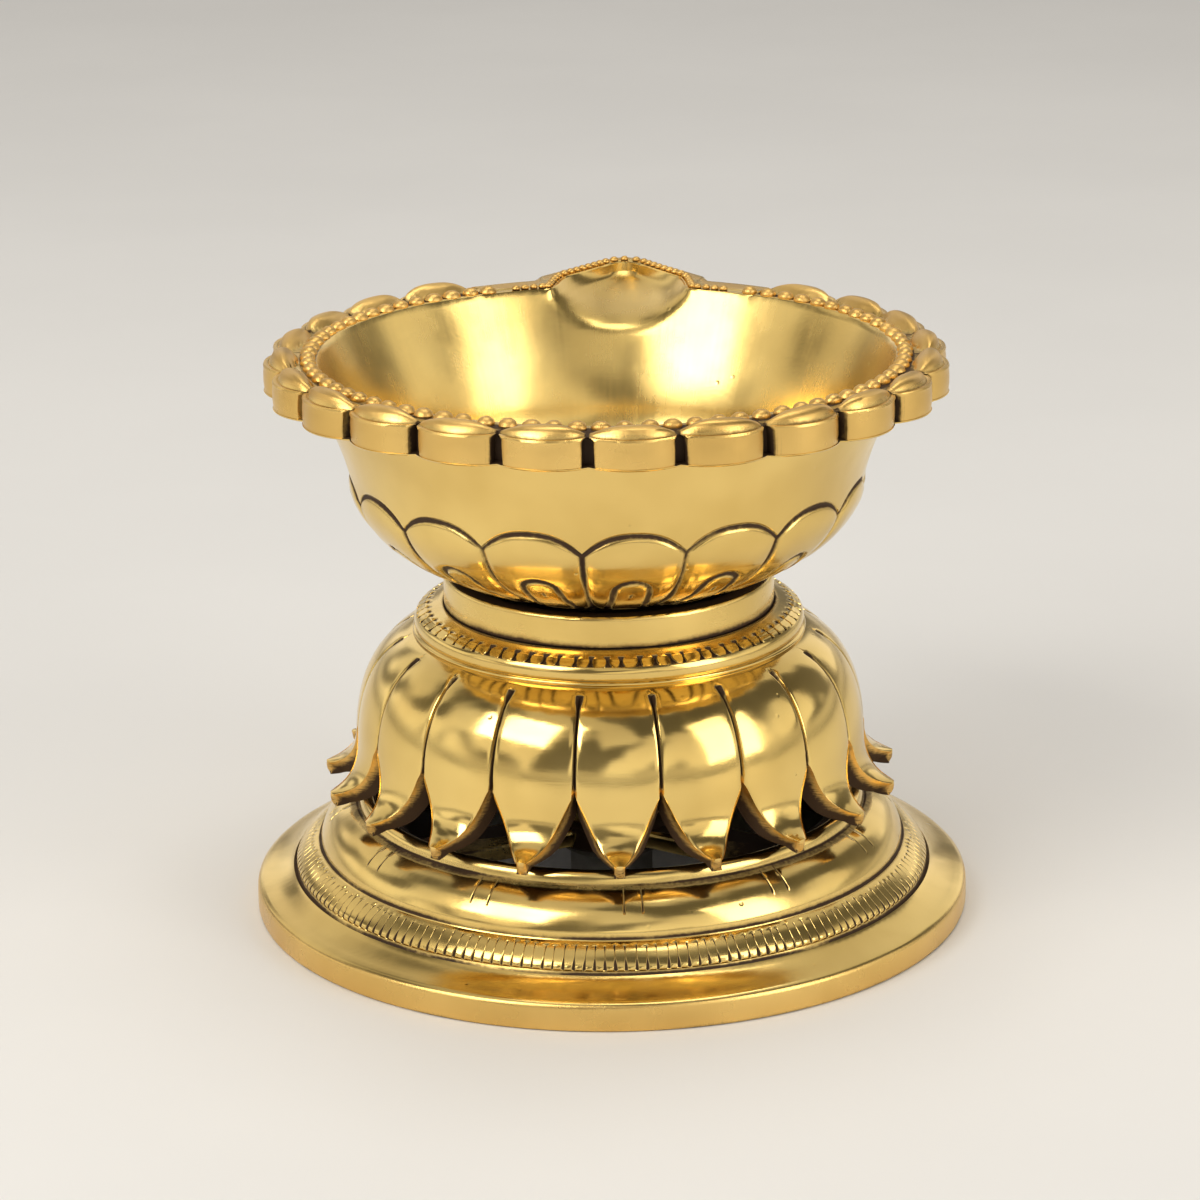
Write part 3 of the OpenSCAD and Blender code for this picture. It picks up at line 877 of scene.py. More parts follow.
def petal_rows(form):
    """Rows of spots for the outer face of a petal, its inner face and its two walls."""
    runs = zip(form.runs(form.outside, form.apex), form.runs(form.inside, form.inner_apex))
    outer, inner, left, right = [], [], [], []
    for k, (run, inner_run) in enumerate(runs):
        outer.append(petal_outer_row(form, k, run))
        inner.append(petal_inner_row(form, k, run, inner_run))
    outer[-1] = [(*spot[:3], 0.5, 1.0, 0) for spot in inner[-1]]
    for outer_row, inner_row in list(zip(outer, inner))[form.above:]:
        left.append(petal_wall_row(outer_row[0], inner_row[0]))
        right.append(petal_wall_row(outer_row[-1], inner_row[-1]))
    return outer, inner, left, right


def neck_outline():
    """The neck's section from the petals over the roll to the plate: band 1 to 2 is notched."""
    points = [(NECK_R, NECK_Z, 0.2), (27.16, 39.55, 0.6)]
    points += [(*place, 0.05) for place in swell((27.16, 39.62), (26.98, 40.18), 0.2, 5)]
    points += [(26.86, 40.25, 0.75)]
    roll = Line(swell((26.92, 40.32), (25.74, 42.68), 0.6, 24))
    for share in (0, 0.04, 0.12, 0.22, 0.32, 0.42, 0.52, 0.59, 0.635):
        points.append((*roll.at(share*roll.length), 0.0))
    points += [(*roll.at(share*roll.length), 0.0, 1 + way)
               for share, way in ((0.655, 0), (0.72, 0.15), (0.80, 0.3), (0.90, 0.45), (1.0, 0.6))]
    points += [(25.6, 42.84, 0, 1.68), (25.4, 42.88, 0, 1.76), (25.15, 42.95, 0, 1.9), (24.9, 43.02, 0, 2),
               # Inwards from here the darkening rises: pitted tarnish with painted shade in the groove at
               # the collar's foot, then as-cast tarnish and painted shade on the plate under the collar,
               # the bore and the deck inside the dome.
               (24.4, 43.16, 0), (23.7, 43.36, 0.2), (23.2, 43.46, 0.45), (23.02, 43.42, 0.7),
               (22.92, 43.2, 1.2), (22.2, 43.2, 1.2), (22.1, 43.58, 1.2), (19.95, 43.58, 1.2),
               (19.9, 44.25, 1.2), (19.7, 44.3, 1.2), (9.6, 44.3, 1.2), (3.3, 44.28, 1.0),
               (3.05, 44.0, 1.0), (3.05, 36.8, 1.0), (3.3, 36.6, 1.0), (9.7, 36.6, 1.2),
               (10.0, 36.9, 1.2), (10.0, DECK_Z, 1.4), (DECK_R, DECK_Z, 1.6)]
    return points


# Shares of a nick's depth that go inwards and downwards
SHOULDER_INWARDS = (0.75, 0.66)


def cut_notches(piece, looks, start):
    """Cuts the chisel nicks across the shoulder's edge, each a little different."""
    radius, turn, height = to_polar(read_places(piece))
    patina_and_shade = read_mark(piece, "patina_and_shade")
    band = read_mark(piece, "band")
    pitch = FULL_TURN/looks.notches
    steps = (turn - start)/pitch - 0.5
    number = np.round(steps).astype(int) % looks.notches
    off = (steps - np.round(steps))*pitch
    draw = random.Random(5)
    width_of = draws(draw.uniform, 0.75, 1.3, looks.notches)
    shift_of = draws(draw.uniform, -0.25, 0.25, looks.notches)
    lean_of = draws(draw.gauss, 0, 0.10, looks.notches)
    depth_of = draws(draw.uniform, 0.7, 1.15, looks.notches)
    column = np.round(off/(pitch/NOTCH_COLUMNS)).astype(int)
    share = band - 1
    half_w = width_of[number]*np.interp(share, (0, 0.45, 0.68, 1), (0.50, 0.21, 0.21, 0.52))
    aside = np.choose(np.abs(column), (0*off, 0.55*half_w, half_w, 0*off))
    spot = np.sign(column)*aside + shift_of[number] + lean_of[number]*(1 - 2*share)
    notched = band >= 1
    moved = notched & (np.abs(column) < 3)
    turn[moved] += (np.degrees(spot/radius) - off)[moved]
    cutting = notched & (np.abs(column) < 2)
    sink = looks.notch_depth/MM*depth_of[number]
    sink *= np.interp(share, (0, 0.3, 0.68, 0.9, 1), (0.55, 0.9, 1, 0.35, 0))
    sink_in(radius, height, cutting, sink, SHOULDER_INWARDS)
    patina_and_shade[cutting] = 1.5*np.interp(share, (0, 0.9, 1), (1, 1, 0.5))[cutting]
    write_places(piece, from_polar(radius, turn, height))
    write_mark(piece, "patina_and_shade", patina_and_shade)


def make_dome(looks, brass):
    form = PetalForm(looks.petals)
    petal = join([lay_sheet("petal_dome", rows) for rows in petal_rows(form)])
    repeat_round(petal, looks.petals)
    turn_piece(petal, math.degrees(looks.petal_turn))
    start = math.degrees(looks.petal_turn) - form.half
    notch = FULL_TURN/looks.notches
    neck = draw_profile("dome_neck", neck_outline(), turn=start)
    spin(neck, (notch, NOTCH_COLUMNS))
    repeat_round(neck, looks.notches)
    weld(neck)
    cut_notches(neck, looks, start)
    dome = join([petal, neck])
    weld(dome)
    finish = FINISHES.brass("cast_dome_brass", brass, 0.11, 0.00006, level_file=True)
    hand_over(dome, finish, "stand", "cast_brass", "lotus_dome")


# The collar

def make_collar(brass):
    low, top, outer, inner = COLLAR_Z, COLLAR_TOP, COLLAR_R, COLLAR_R - 2.9
    # The bottom face, the inner wall and the inner part of the top are darkened as painted shade where the
    # collar sits on the dome and the bowl sits in it; the darker band at the outer foot is pitted tarnish.
    points = [(inner, low + 0.1, 0.9), (outer - 0.05, low + 0.02, 0.95), (outer, low + 0.35, 0.66),
              (outer - 0.05, low + 0.6, 0.46), (outer - 0.02, low + 1.0, 0.28),
              (outer - 0.02, low + 1.5, 0.0), (outer - 0.02, low + 2.2, 0), (outer - 0.05, top - 0.6, 0),
              (outer - 0.12, top - 0.22, 0), (outer - 0.3, top - 0.02, 0), (outer - 0.5, top - 0.04, 0.4),
              (outer - 0.75, top - 0.12, 1.4), (inner + 0.3, top - 0.12, 1.6), (inner, top - 0.4, 1.6),
              (inner, low + 0.1, 0.9)]
    collar = turn_on_lathe("plain_collar", points, 240)
    radius, turn, height = to_polar(read_places(collar))
    draw = random.Random(3)
    nicks = 30
    top_edge = (height > top - 0.4) & (radius > outer - 0.6)
    for _ in range(nicks):
        middle = draw.uniform(-180, 180)
        width = draw.uniform(0.7, 1.6)
        nick = np.exp(-((turn - middle)/width)**2)*draw.uniform(0.02, 0.08)
        radius[top_edge] -= nick[top_edge]
        height[top_edge] -= nick[top_edge]
    write_places(collar, from_polar(radius, turn, height))
    finish = FINISHES.brass("turned_collar_brass", brass, 0.14, 0.000025, rings=0.10)
    hand_over(collar, finish, "stand", "turned_brass", "neck_collar")


# The bowl

# Numbers that tell the bowl's parts apart: the wall, the inside and the first row of the rim
WALL_BAND, INSIDE_BAND, RIM_BAND = 1, 3, 10


def bowl_outside():
    under = curve((9.5, 0), (35.0, 15.4), (0.5, 0.23), (0.9, 0.47), 40)
    wall = curve((35.0, 15.4), (WALL_TOP_R, 29.1), (0.12, 0.33), (0.58, 0.67), 24)
    return Line([(r, h + BOWL_Z) for r, h in under + wall[1:]])


def chased_petal(run, aside, to_side, arch):
    """Lift and darkening at a run up the wall, aside from a petal's middle and in from its side and arch:
    tarnish in the chased lines and painted shade low on the underside.
    """
    tongue_half, tongue_turn = 2.35, 23.0
    tick_run, tick_half, tick_width = 21.2, 0.65, 0.16
    inward = min(arch - run, to_side) if run < arch + 0.05 else arch - run
    lift = np.interp(inward, (-0.5, -0.28, 0.12, 0.4, 0.9, 2.6), (0, -0.2, -0.2, 0.10, 0.30, 0.46))
    patina_and_shade = np.interp(inward, (-0.6, -0.3, -0.12, 0.2, 0.4, 0.8), (0, 0.6, 1.1, 1.1, 0.5, 0))
    above = run - tongue_turn
    to_tongue = abs((math.hypot(aside, above) if above > 0 else aside) - tongue_half)
    lift -= np.interp(to_tongue, (0, 0.3, 0.6), (0.32, 0.30, 0))
    patina_and_shade = max(patina_and_shade, np.interp(to_tongue, (0, 0.32, 0.66), (1.1, 1.0, 0)))
    tick = max(aside - tick_width, 0) + max(abs(run - tick_run) - tick_half, 0)
    lift -= 0.25*ease(1 - tick/0.25)
    patina_and_shade = max(patina_and_shade, 0.95*ease(1 - tick/0.35))
    fade = ease((run - 5)/7)
    # Below a run of 15.5 the underside darkens fully: painted shade where the bowl sits down in the collar.
    return lift*fade, max(patina_and_shade*fade, np.interp(run, (11, 15.5), (1.0, 0.0)))


def relief_tile(looks):
    """One chased petal of the underside, with the plain wall above it, as a sheet."""
    wall = bowl_outside()
    half = FULL_TURN/looks.relief_petals/2
    columns = BOWL_COLUMNS//looks.relief_petals
    arch_top, arch_side = 33.1, 30.2
    plain = [0, 3, 6, 9, 11.5, 13.5, 15]
    plain += [15.5 + 0.5*i for i in range(10)]
    plain += [20.5 + 0.33*i for i in range(20)]
    table = []
    for j in range(columns + 1):
        u = 2*j/columns - 1
        turn = u*half
        arch = arch_side + (arch_top - arch_side)*(1 - abs(u)**2.4)
        runs = plain + [mix(27.0, arch - 1.0, (i + 1)/5) for i in range(5)]
        runs += [arch + d for d in (-0.7, -0.45, -0.25, -0.08, 0.1, 0.28, 0.45, 0.7)]
        runs += [mix(arch + 0.7, wall.length, (i + 1)/9) for i in range(9)]
        line = []
        for run in runs:
            place = wall.at(run)
            out = -wall.left(run)
            aside = math.radians(abs(turn))*place.x
            lift, patina_and_shade = chased_petal(run, aside, math.radians(half)*place.x - aside, arch)
            lift *= run < wall.length - 0.2
            spot = (place.x + out.x*lift, turn, place.y + out.y*lift)
            line.append((*spot, patina_and_shade, 0, WALL_BAND + run/100))
        table.append(line)
    rows = [list(row) for row in zip(*table)]
    return lay_sheet("lobed_bowl", rows)


# Rows of a lobe's cap, of those that run from the wall to the mouth, and how far the cap rises
CAP_ROWS = 11
CAP_START = 12
CAP_LAST = CAP_START + CAP_ROWS - 1
CAP_RISE = 1.86
# Rows of the plain lip at the spout, one for each row of a lobe, as shares across it and of its height
LIP_ROWS = [(0.86, 0), (0.97, 0), (1, 0.05), (1, 0.08), (1, 0.11), (1, 0.14), (1, 0.4), (1, 0.7), (1, 0.88),
            (0.985, 0.95), (0.95, 0.985), (0.9, 1)]
LIP_ROWS += [(mix(0.86, 0.34, i/(CAP_ROWS - 1)), 1.0) for i in range(CAP_ROWS)]
LIP_ROWS += [(0.29, 0.98), (0.22, 0.96), (0.16, 0.96), (0.09, 0.97), (0.04, 0.96), (0, 0.9)]


# Rows of a lobe below its cap, as insets from its face and rises above the wall
LOBE_FOOT = ((0.5, 0.0), (0.12, 0.08), (0.0, 0.22), (0.0, 0.30))
LOBE_FACE = (0.34, 1.5, 2.7, 3.55)
LOBE_EDGE = ((0.02, 3.80), (0.14, RIM_HEIGHT), (0.62, 4.12))
# Rows from the caps to the mouth, as radius, rise and patina
MOUTH_ROWS = ((41.6, 4.15, 1.0), (41.25, 4.08, 0.95), (40.5, RIM_HEIGHT, 0.8), (39.85, 4.25, 0.35),
              (39.5, 4.27, 0.05), (MOUTH_R, RIM_HEIGHT, 0.0))


def cap_rise(u, v):
    """Height of a lobe's leaf-shaped cap, at a share across the lobe and a share of the way in."""
    half_w = np.interp(v, (0, 0.3, 0.65, 0.9, 1), (1.06, 1.04, 0.80, 0.42, 0.18))
    across = 1 - min(u/half_w, 1)**3
    along = np.interp(v, (0, 0.1, 0.2, 0.35, 0.55, 0.8, 1), (0, 0.50, 0.76, 0.95, 1, 0.70, 0.12))
    return CAP_RISE*along*across**0.8


def lobe_spot(k, across, face, u):
    """Radius, rise, patina and filing in row k of a lobe, at a column counted from the nearest slot."""
    slot_r, cap_end_r = 43.3, 41.8
    in_slot = across < 2
    soft = 0.12*(across == 2)
    if k == 0:
        return WALL_TOP_R, 0.0, 0.55, 0.0
    if k <= 4:
        inset, rise = LOBE_FOOT[k - 1]
        return face - inset, rise, (0.4, 0.2, 0.1, 0.15 + 0.7*in_slot)[k - 1], 0.0
    if k <= 8:
        rise = LOBE_FACE[k - 5]
        if in_slot:
            return slot_r, rise, 1.3, 0.0
        radius = face - 0.12*((rise - 2.0)/1.7)**2 - soft
        return radius, rise, np.interp(across, (2, 3, 5), (0.5, 0.3, 0)), 0.6
    if k < CAP_START:
        inset, rise = LOBE_EDGE[k - 9]
        if in_slot:
            return (slot_r, face - 0.9, face - 1.3)[k - 9], rise - 0.15, (1.3, 1.0, 0.8)[k - 9], 0.0
        rise -= 0.05*(across == 2)
        return face - inset - soft, rise, np.interp(across, (2, 3), (0.4, 0)), 0.5
    if k <= CAP_LAST:
        v = (k - CAP_START)/(CAP_ROWS - 1)
        if in_slot:
            return mix(face - 1.4, cap_end_r, v), 4.0, mix(0.7, 0.9, v), 0.0
        rise = 4.02 + cap_rise(u, v)
        dull = np.interp(across, (2, 3, 4, 5), (0.75, 0.42, 0.12, 0))
        patina_and_shade = max(0.6*(rise < RIM_HEIGHT), dull)
        return mix(face - 0.78, cap_end_r, v), rise, patina_and_shade, 0.8*(rise > RIM_HEIGHT)
    return (*MOUTH_ROWS[k - CAP_LAST - 1], 0.0)


def lobe_tile(looks):
    """One lobe of the rim, from the top of the wall over the cap to the mouth, as a sheet."""
    half = FULL_TURN/looks.lobes/2
    columns = BOWL_COLUMNS//looks.lobes
    centre_r, lobe_r = 38.6, 8.1
    rows = []
    for k in range(len(LIP_ROWS)):
        slot_edge = half - np.interp(k, (4, 8, 9, 10, 11), (1.0, 0.85, 0.75, 0.35, 0.22))
        lobe_edge = slot_edge - 0.12
        row = []
        for j in range(columns + 1):
            across = min(j, columns - j)
            side = -1 if j < columns/2 else 1
            if k in (0, len(LIP_ROWS) - 1):
                turn = mix(-half, half, j/columns)
            elif across < 3:
                turn = side*(half, slot_edge, lobe_edge)[across]
            else:
                turn = mix(-lobe_edge + 0.22, lobe_edge - 0.22, (j - 3)/(columns - 6))
            a = math.radians(turn)
            face = centre_r*math.cos(a) + math.sqrt(lobe_r**2 - (centre_r*math.sin(a))**2)
            radius, rise, patina_and_shade, filed = lobe_spot(k, across, face, abs(turn)/lobe_edge)
            row.append((radius, turn, RIM_UNDER + rise, patina_and_shade, filed, RIM_BAND + k))
        rows.append(row)
    return lay_sheet("rim_lobe", rows)


def vary_lobes(rim, looks):
    """Makes each lobe a little different, as hand filing does."""
    radius, turn, height = to_polar(read_places(rim))
    row = np.round(read_mark(rim, "band") - RIM_BAND)
    pitch = FULL_TURN/looks.lobes
    steps = turn/pitch - 0.5
    number = np.round(steps).astype(int) % looks.lobes
    aside = (steps - np.round(steps))*2
    draw = random.Random(21)
    high = draws(draw.uniform, -0.45, 0.0, looks.lobes)
    lean = draws(draw.uniform, -0.35, 0.35, looks.lobes)
    proud = draws(draw.uniform, -0.30, 0.0, looks.lobes)
    skew = draws(draw.uniform, -0.5, 0.5, looks.lobes)
    on_cap = (row >= CAP_START) & (row <= CAP_LAST)
    crown = np.clip((height - RIM_UNDER - 4.04)/CAP_RISE, 0, 1)*on_cap
    height += crown*(high[number] + lean[number]*aside)
    face = (row >= 2) & (row <= 13) & (np.abs(aside) < 0.85)
    radius += face*proud[number]*(1 - aside**2)
    turn += skew[number]*(row >= 5)*(row <= CAP_LAST)*np.abs(aside)**3*np.clip((row - 5)/8, 0, 1)
    write_places(rim, from_polar(radius, turn, height))


def bowl_inside_outline():
    """The inside of the bowl, from the mouth down to the middle of its floor."""
    floor = curve((0, 4.2), (32.0, 16.4), (0.6, 0), (0.94, 0.35), 20)
    side = curve((32.0, 16.4), (MOUTH_R, 33.2), (0.17, 0.33), (0.69, 0.7), 20)
    points = [(MOUTH_R, RIM_UNDER + RIM_HEIGHT, 0.0, INSIDE_BAND)]
    for r, h in (floor + side[1:])[-2::-1]:
        points.append((r, h + BOWL_Z, 0.0, INSIDE_BAND))
    return points


def bowl_boss_outline():
    top = BOWL_Z + 3.3
    # The boss is darkened as painted shade under the bowl, down in the collar.
    return [(9.5, BOWL_Z, 1.0), (9.5, BOSS_Z + 0.3, 1.0), (9.2, BOSS_Z, 0.9), (3.4, BOSS_Z, 0.9),
            (3.05, BOSS_Z + 0.3, 0.9), (3.05, top, 0.9), (0, top, 0.9)]


# Half angles of the spout and of the plain rim round it, in degrees, and the spout's sizes in millimetres
SPOUT_HALF = 23.0
PLAIN_ZONE = 29.5
SPOUT_RISE = 0.8
SPOUT_WALL = 2.3
KEEL_R = 14.5
BAR_SPAN = 60.0
EDGE_SOFT = 0.4
# Height of the keel at the spout's tip and its slope, first outside and then in the channel
KEEL = (RIM_FLAT + SPOUT_RISE - 4.7, math.radians(12))
CHANNEL = (RIM_FLAT + SPOUT_RISE - 1.9, math.radians(10.5))


def spout_lines():
    """The outer and inner outline of half the spout, as (across, along) from its tip to its root."""
    a = math.radians(SPOUT_HALF)
    root = (PLAIN_RIM_R*math.sin(a), PLAIN_RIM_R*math.cos(a))
    side = curve(root, (2.4, SPOUT_REACH - 0.85), (0.4, 0.3), (0.71, 0.68), 24)
    outer = [(0, SPOUT_REACH), (0.95, SPOUT_REACH - 0.08), (1.8, SPOUT_REACH - 0.38)] + side[::-1]
    root = (MOUTH_R*math.sin(a), MOUTH_R*math.cos(a))
    side = curve(root, (2.0, SPOUT_REACH - 3.3), (0.12, 0.2), (0.71, 0.68), 24)
    inner = [(0, SPOUT_REACH - SPOUT_WALL), (0.8, SPOUT_REACH - SPOUT_WALL - 0.12),
             (1.5, SPOUT_REACH - SPOUT_WALL - 0.5)] + side[::-1]
    return Line(outer), Line(inner)


def lip_height(along):
    """Height of the spout's lip, which rises towards the tip."""
    start = MOUTH_R - KEEL_R
    return RIM_FLAT + SPOUT_RISE*(along - start)/(SPOUT_REACH - start)


def bar_reach(off, height, bar_r, keel):
    """How far out a level ray runs before it leaves the round bar that shapes the spout's keel."""
    a = np.radians(off)
    keel_z, slope = keel
    start = math.sin(slope)*SPOUT_REACH + math.cos(slope)*(height - keel_z) - bar_r
    level = np.cos(a)*math.sin(slope)
    square = np.sin(a)**2 + level**2
    room = np.maximum((start*level)**2 - square*(start**2 - bar_r**2), 0)
    ahead = (room > 0) & (np.abs(off) < BAR_SPAN)
    return np.where(ahead, (start*level + np.sqrt(room))/square, 0)


def soft_min(first, second, soft):
    """The smaller of two values, rounded off where they meet."""
    return -soft*np.logaddexp(-first/soft, -second/soft)


def spout_edges(off):
    """Radius of the outer and the inner edge of the spout's lip, at angles off the spout's middle."""
    edges = []
    bars = ((KEEL_R, KEEL), (KEEL_R - SPOUT_WALL, CHANNEL))
    for line, bar, rim_r in zip(spout_lines(), bars, (PLAIN_RIM_R, MOUTH_R)):
        angles = [math.degrees(math.atan2(p.x, p.y)) for p in line.points]
        plan = np.interp(np.abs(off), angles, [p.length for p in line.points])
        edge = soft_min(plan, bar_reach(off, RIM_FLAT + SPOUT_RISE/2, *bar), EDGE_SOFT)
        edges.append(rim_r + EDGE_SOFT*np.logaddexp(0, (edge - rim_r)/EDGE_SOFT))
    return edges


def draw_spout(bowl):
    """Draws the plain rim at the back out into the spout, and the wall and the inside with it."""
    radius, turn, height = to_polar(read_places(bowl))
    band = read_mark(bowl, "band")
    patina_and_shade = read_mark(bowl, "patina_and_shade")
    off = (turn + FULL_TURN) % FULL_TURN - 180
    outer, inner = spout_edges(off)
    band[(band < INSIDE_BAND) & (height > RIM_UNDER - 0.01)] = RIM_BAND
    last = len(LIP_ROWS) - 1
    mouth = (band >= INSIDE_BAND) & (band < RIM_BAND - 1) & (height > RIM_UNDER + RIM_HEIGHT - 0.01)
    band[mouth] = RIM_BAND + last

    lip = (band >= RIM_BAND - 0.5) & (np.abs(off) < PLAIN_ZONE)
    across, up = np.array(LIP_ROWS)[np.clip(np.round(band - RIM_BAND).astype(int), 0, last)].T
    radius = np.where(lip, mix(inner, outer, across), radius)
    near = np.clip(1 - np.abs(off)/SPOUT_HALF, 0, 1)
    under = RIM_UNDER + 0.9*near*near*(3 - 2*near)
    top = lip_height(radius*np.cos(np.radians(off)))
    height = np.where(lip, mix(under, top, up), height)
    patina_and_shade = np.where(lip, 0.35*((across > 0.1) & (across < 0.3)) + 0.15*(across > 0.9), patina_and_shade)

    wall = (band >= WALL_BAND) & (band < INSIDE_BAND)
    inside = (band >= INSIDE_BAND) & (band < INSIDE_BAND + 1)
    for part, bar_r, keel, edge, soft in ((wall, KEEL_R, KEEL, outer, 0.7),
                                          (inside, KEEL_R - SPOUT_WALL, CHANNEL, inner, 1.6)):
        bar = soft_min(bar_reach(off, height, bar_r, keel), edge, soft)
        pushed = soft*np.logaddexp(0, (bar - radius)/soft)
        radius = np.where(part, np.minimum(radius + pushed, np.maximum(edge, radius)), radius)
        patina_and_shade = np.where(part, patina_and_shade*(1 - 0.8*np.clip(pushed/2, 0, 1)), patina_and_shade)
    write_places(bowl, from_polar(radius, turn, height))
    write_mark(bowl, "patina_and_shade", patina_and_shade)


def bead_at(place, turn, size, draw):
    """A small bead, longer along the radius than across it."""
    clear_bench()
    bpy.ops.mesh.primitive_uv_sphere_add(segments=12, ring_count=6, radius=size/2*MM,
                                         location=(0, 0, 0))
    bead = name_piece("bead")
    bpy.ops.transform.resize(value=(1.12*draw.uniform(0.9, 1.06), 1.02*draw.uniform(0.92, 1.08), 0.8))
    bpy.ops.object.transform_apply(location=False, rotation=False, scale=True)
    radius, own, height = to_polar(read_places(bead))
    turned = from_polar(radius, own + turn + draw.uniform(-5, 5), height)
    # The lower half of the bead is darkened: painted shade under it.
    low = height < -0.1*size
    write_places(bead, turned + np.asarray(place))
    write_mark(bead, "patina_and_shade", np.where(low, 0.9, 0.12))
    write_mark(bead, "filed", np.ones(len(height)))
    return bead


def make_beads(looks):
    """The row of beads inside the lobes and the fine beads along the spout's lip."""
    draw = random.Random(8)
    row_r, fine_pitch, fine_inset = 40.5, 1.3, 0.85
    size = looks.bead_size/MM
    beads = []
    pitch = FULL_TURN/looks.beads
    for i in range(looks.beads):
        turn = (i + 0.5)*pitch + draw.uniform(-0.25, 0.25)
        if abs(turn - 180) > SPOUT_HALF + 1:
            place = polar(row_r, turn, RIM_UNDER + RIM_HEIGHT + 0.2)/MM
            beads.append(bead_at(place, turn, size, draw))
    angles = np.linspace(0, SPOUT_HALF + 1, 60)
    inner = spout_edges(angles)[1]
    line = Line([(r*math.sin(a), r*math.cos(a)) for r, a in zip(inner, np.radians(angles))])
    fine = int(line.length/fine_pitch)
    for i in range(-fine + 1, fine):
        run = abs(i)/fine*line.length
        spot = line.at(run) + fine_inset*line.left(run)
        off = math.degrees(math.atan2(math.copysign(spot.x, i), spot.y))
        place = polar(spot.length, 180 + off, lip_height(spot.y) + 0.1)/MM
        beads.append(bead_at(place, 180 + off, 0.5*size, draw))
    return join(beads)


def make_bowl(looks, brass):
    relief = relief_tile(looks)
    repeat_round(relief, looks.relief_petals)
    turn_piece(relief, math.degrees(looks.relief_turn))
    rim = lobe_tile(looks)
    repeat_round(rim, looks.lobes)
    turn_piece(rim, FULL_TURN/looks.lobes/2)
    vary_lobes(rim, looks)
    inside = draw_profile("bowl_inside", bowl_inside_outline())
    spin(inside, (FULL_TURN, BOWL_COLUMNS))
    write_mark(inside, "brushed", np.ones(len(inside.data.vertices)))
    boss = draw_profile("bowl_boss", bowl_boss_outline())
    spin(boss, (FULL_TURN, BOWL_COLUMNS))
    bowl = join([relief, rim, inside, boss])
    weld(bowl)
    draw_spout(bowl)
    bowl = join([bowl, make_beads(looks)])
    finish = FINISHES.brass("bowl_brass", brass, 0.15, 0.00005)
    hand_over(bowl, finish, "bowl", "bowl_brass", "oil_bowl")


# The fastening inside the stand

def make_spacer(brass):
    low, top, outer = SPACER_Z, SPACER_TOP, SPACER_R
    # The sleeve's middle is darker than its ends: painted shade deep inside the stand.
    points = [(3.3, low + 0.3, 0.7), (3.6, low, 0.6), (outer - 0.4, low, 0.4), (outer, low + 0.4, 0.2),
              (outer, low + 8, 1.2), (outer, top - 8, 1.2), (outer, top - 0.4, 0.9),
              (outer - 0.4, top, 0.4), (3.6, top, 0.6), (3.3, top - 0.3, 0.7), (3.3, low + 0.3, 0.7)]
    spacer = turn_on_lathe("spacer_sleeve", points, 72)
    finish = FINISHES.brass("turned_sleeve_brass", brass, 0.24, 0.00002, rings=0.14)
    hand_over(spacer, finish, "stand", "turned_brass", "spacer_tube")


def make_rod(steel):
    """The threaded rod, with a chamfer at each end."""
    pitch, depth, columns, step = 1.0, 0.58, 28, 0.125
    count = int((ROD_TOP - ROD_Z)/step)
    rows = [[(0.0, j*FULL_TURN/columns, ROD_Z, 0.2, 0, 0) for j in range(columns + 1)]]
    for i in range(count + 1):
        z = mix(ROD_Z, ROD_TOP, i/count)
        to_end = min(z - ROD_Z, ROD_TOP - z)
        row = []
        for j in range(columns + 1):
            wave = (z/pitch + j/columns) % 1.0
            sunk = depth*min(max(2*abs(wave - 0.5)*1.25 - 0.12, 0), 1)
            radius = min(ROD_R - 0.02 - sunk, ROD_R - 0.75 + to_end)
            row.append((radius, j*FULL_TURN/columns, z, 0.75*sunk/depth, 0, 0))
        rows.append(row)
    rows.append([(0.0, j*FULL_TURN/columns, ROD_TOP, 0.2, 0, 0) for j in range(columns + 1)])
    rod = lay_sheet("threaded_rod", rows)
    weld(rod)
    hand_over(rod, steel, "rod", "fastener_steel", "tie_rod")


def make_washer(steel):
    low, top, outer = WASHER_Z, WASHER_TOP, WASHER_R
    points = [(3.3, low + 0.25, 0.6), (3.55, low, 0.3), (outer - 0.35, low, 0.1), (outer, low + 0.3, 0.2),
              (outer, top - 0.12, 0.3), (outer - 0.1, top, 0.3), (3.4, top, 0.3), (3.3, top - 0.1, 0.5),
              (3.3, low + 0.25, 0.6)]
    washer = turn_on_lathe("plain_washer", points, 64)
    hand_over(washer, steel, "stand", "fastener_steel", "washer")


def make_nut(steel):
    """A hexagon cut to its chamfers, with a countersunk bore."""
    low, top = NUT_Z, NUT_TOP
    flat_r = NUT_R*math.cos(math.radians(30))
    clear_bench()
    bpy.ops.mesh.primitive_cylinder_add(vertices=6, radius=NUT_R*MM, depth=(top - low)*MM,
                                        location=(0, 0, (low + top)/2*MM))
    nut = name_piece("nut")
    bpy.ops.object.transform_apply(location=True, rotation=False, scale=False)
    turn_piece(nut, 90)
    drop = (NUT_R - flat_r + 0.5)*math.tan(math.radians(30))
    side_r, face_r = NUT_R + 0.2, flat_r - 0.3
    points = [(0, low, 0.1), (face_r, low, 0.1), (side_r, low + drop, 0.1),
              (side_r, top - drop, 0.1), (face_r, top, 0.1), (0, top, 0.1)]
    blank = turn_on_lathe("nut_blank", points, 96)
    cut_with(nut, blank, "INTERSECT")
    bore_r, sink_r = 3.05, 4.4
    points = [(0, low - 1, 0.8), (sink_r, low - 1, 0.8), (bore_r, low + 0.4, 0.8),
              (bore_r, top - 0.4, 0.8), (sink_r, top + 1, 0.8), (0, top + 1, 0.8)]
    bore = turn_on_lathe("nut_bore", points, 96)
    cut_with(nut, bore, "DIFFERENCE")
    weld(nut)
    hand_over(nut, steel, "stand", "fastener_steel", "hex_nut")


# The studio

FLOOR_RADIUS = 6.0


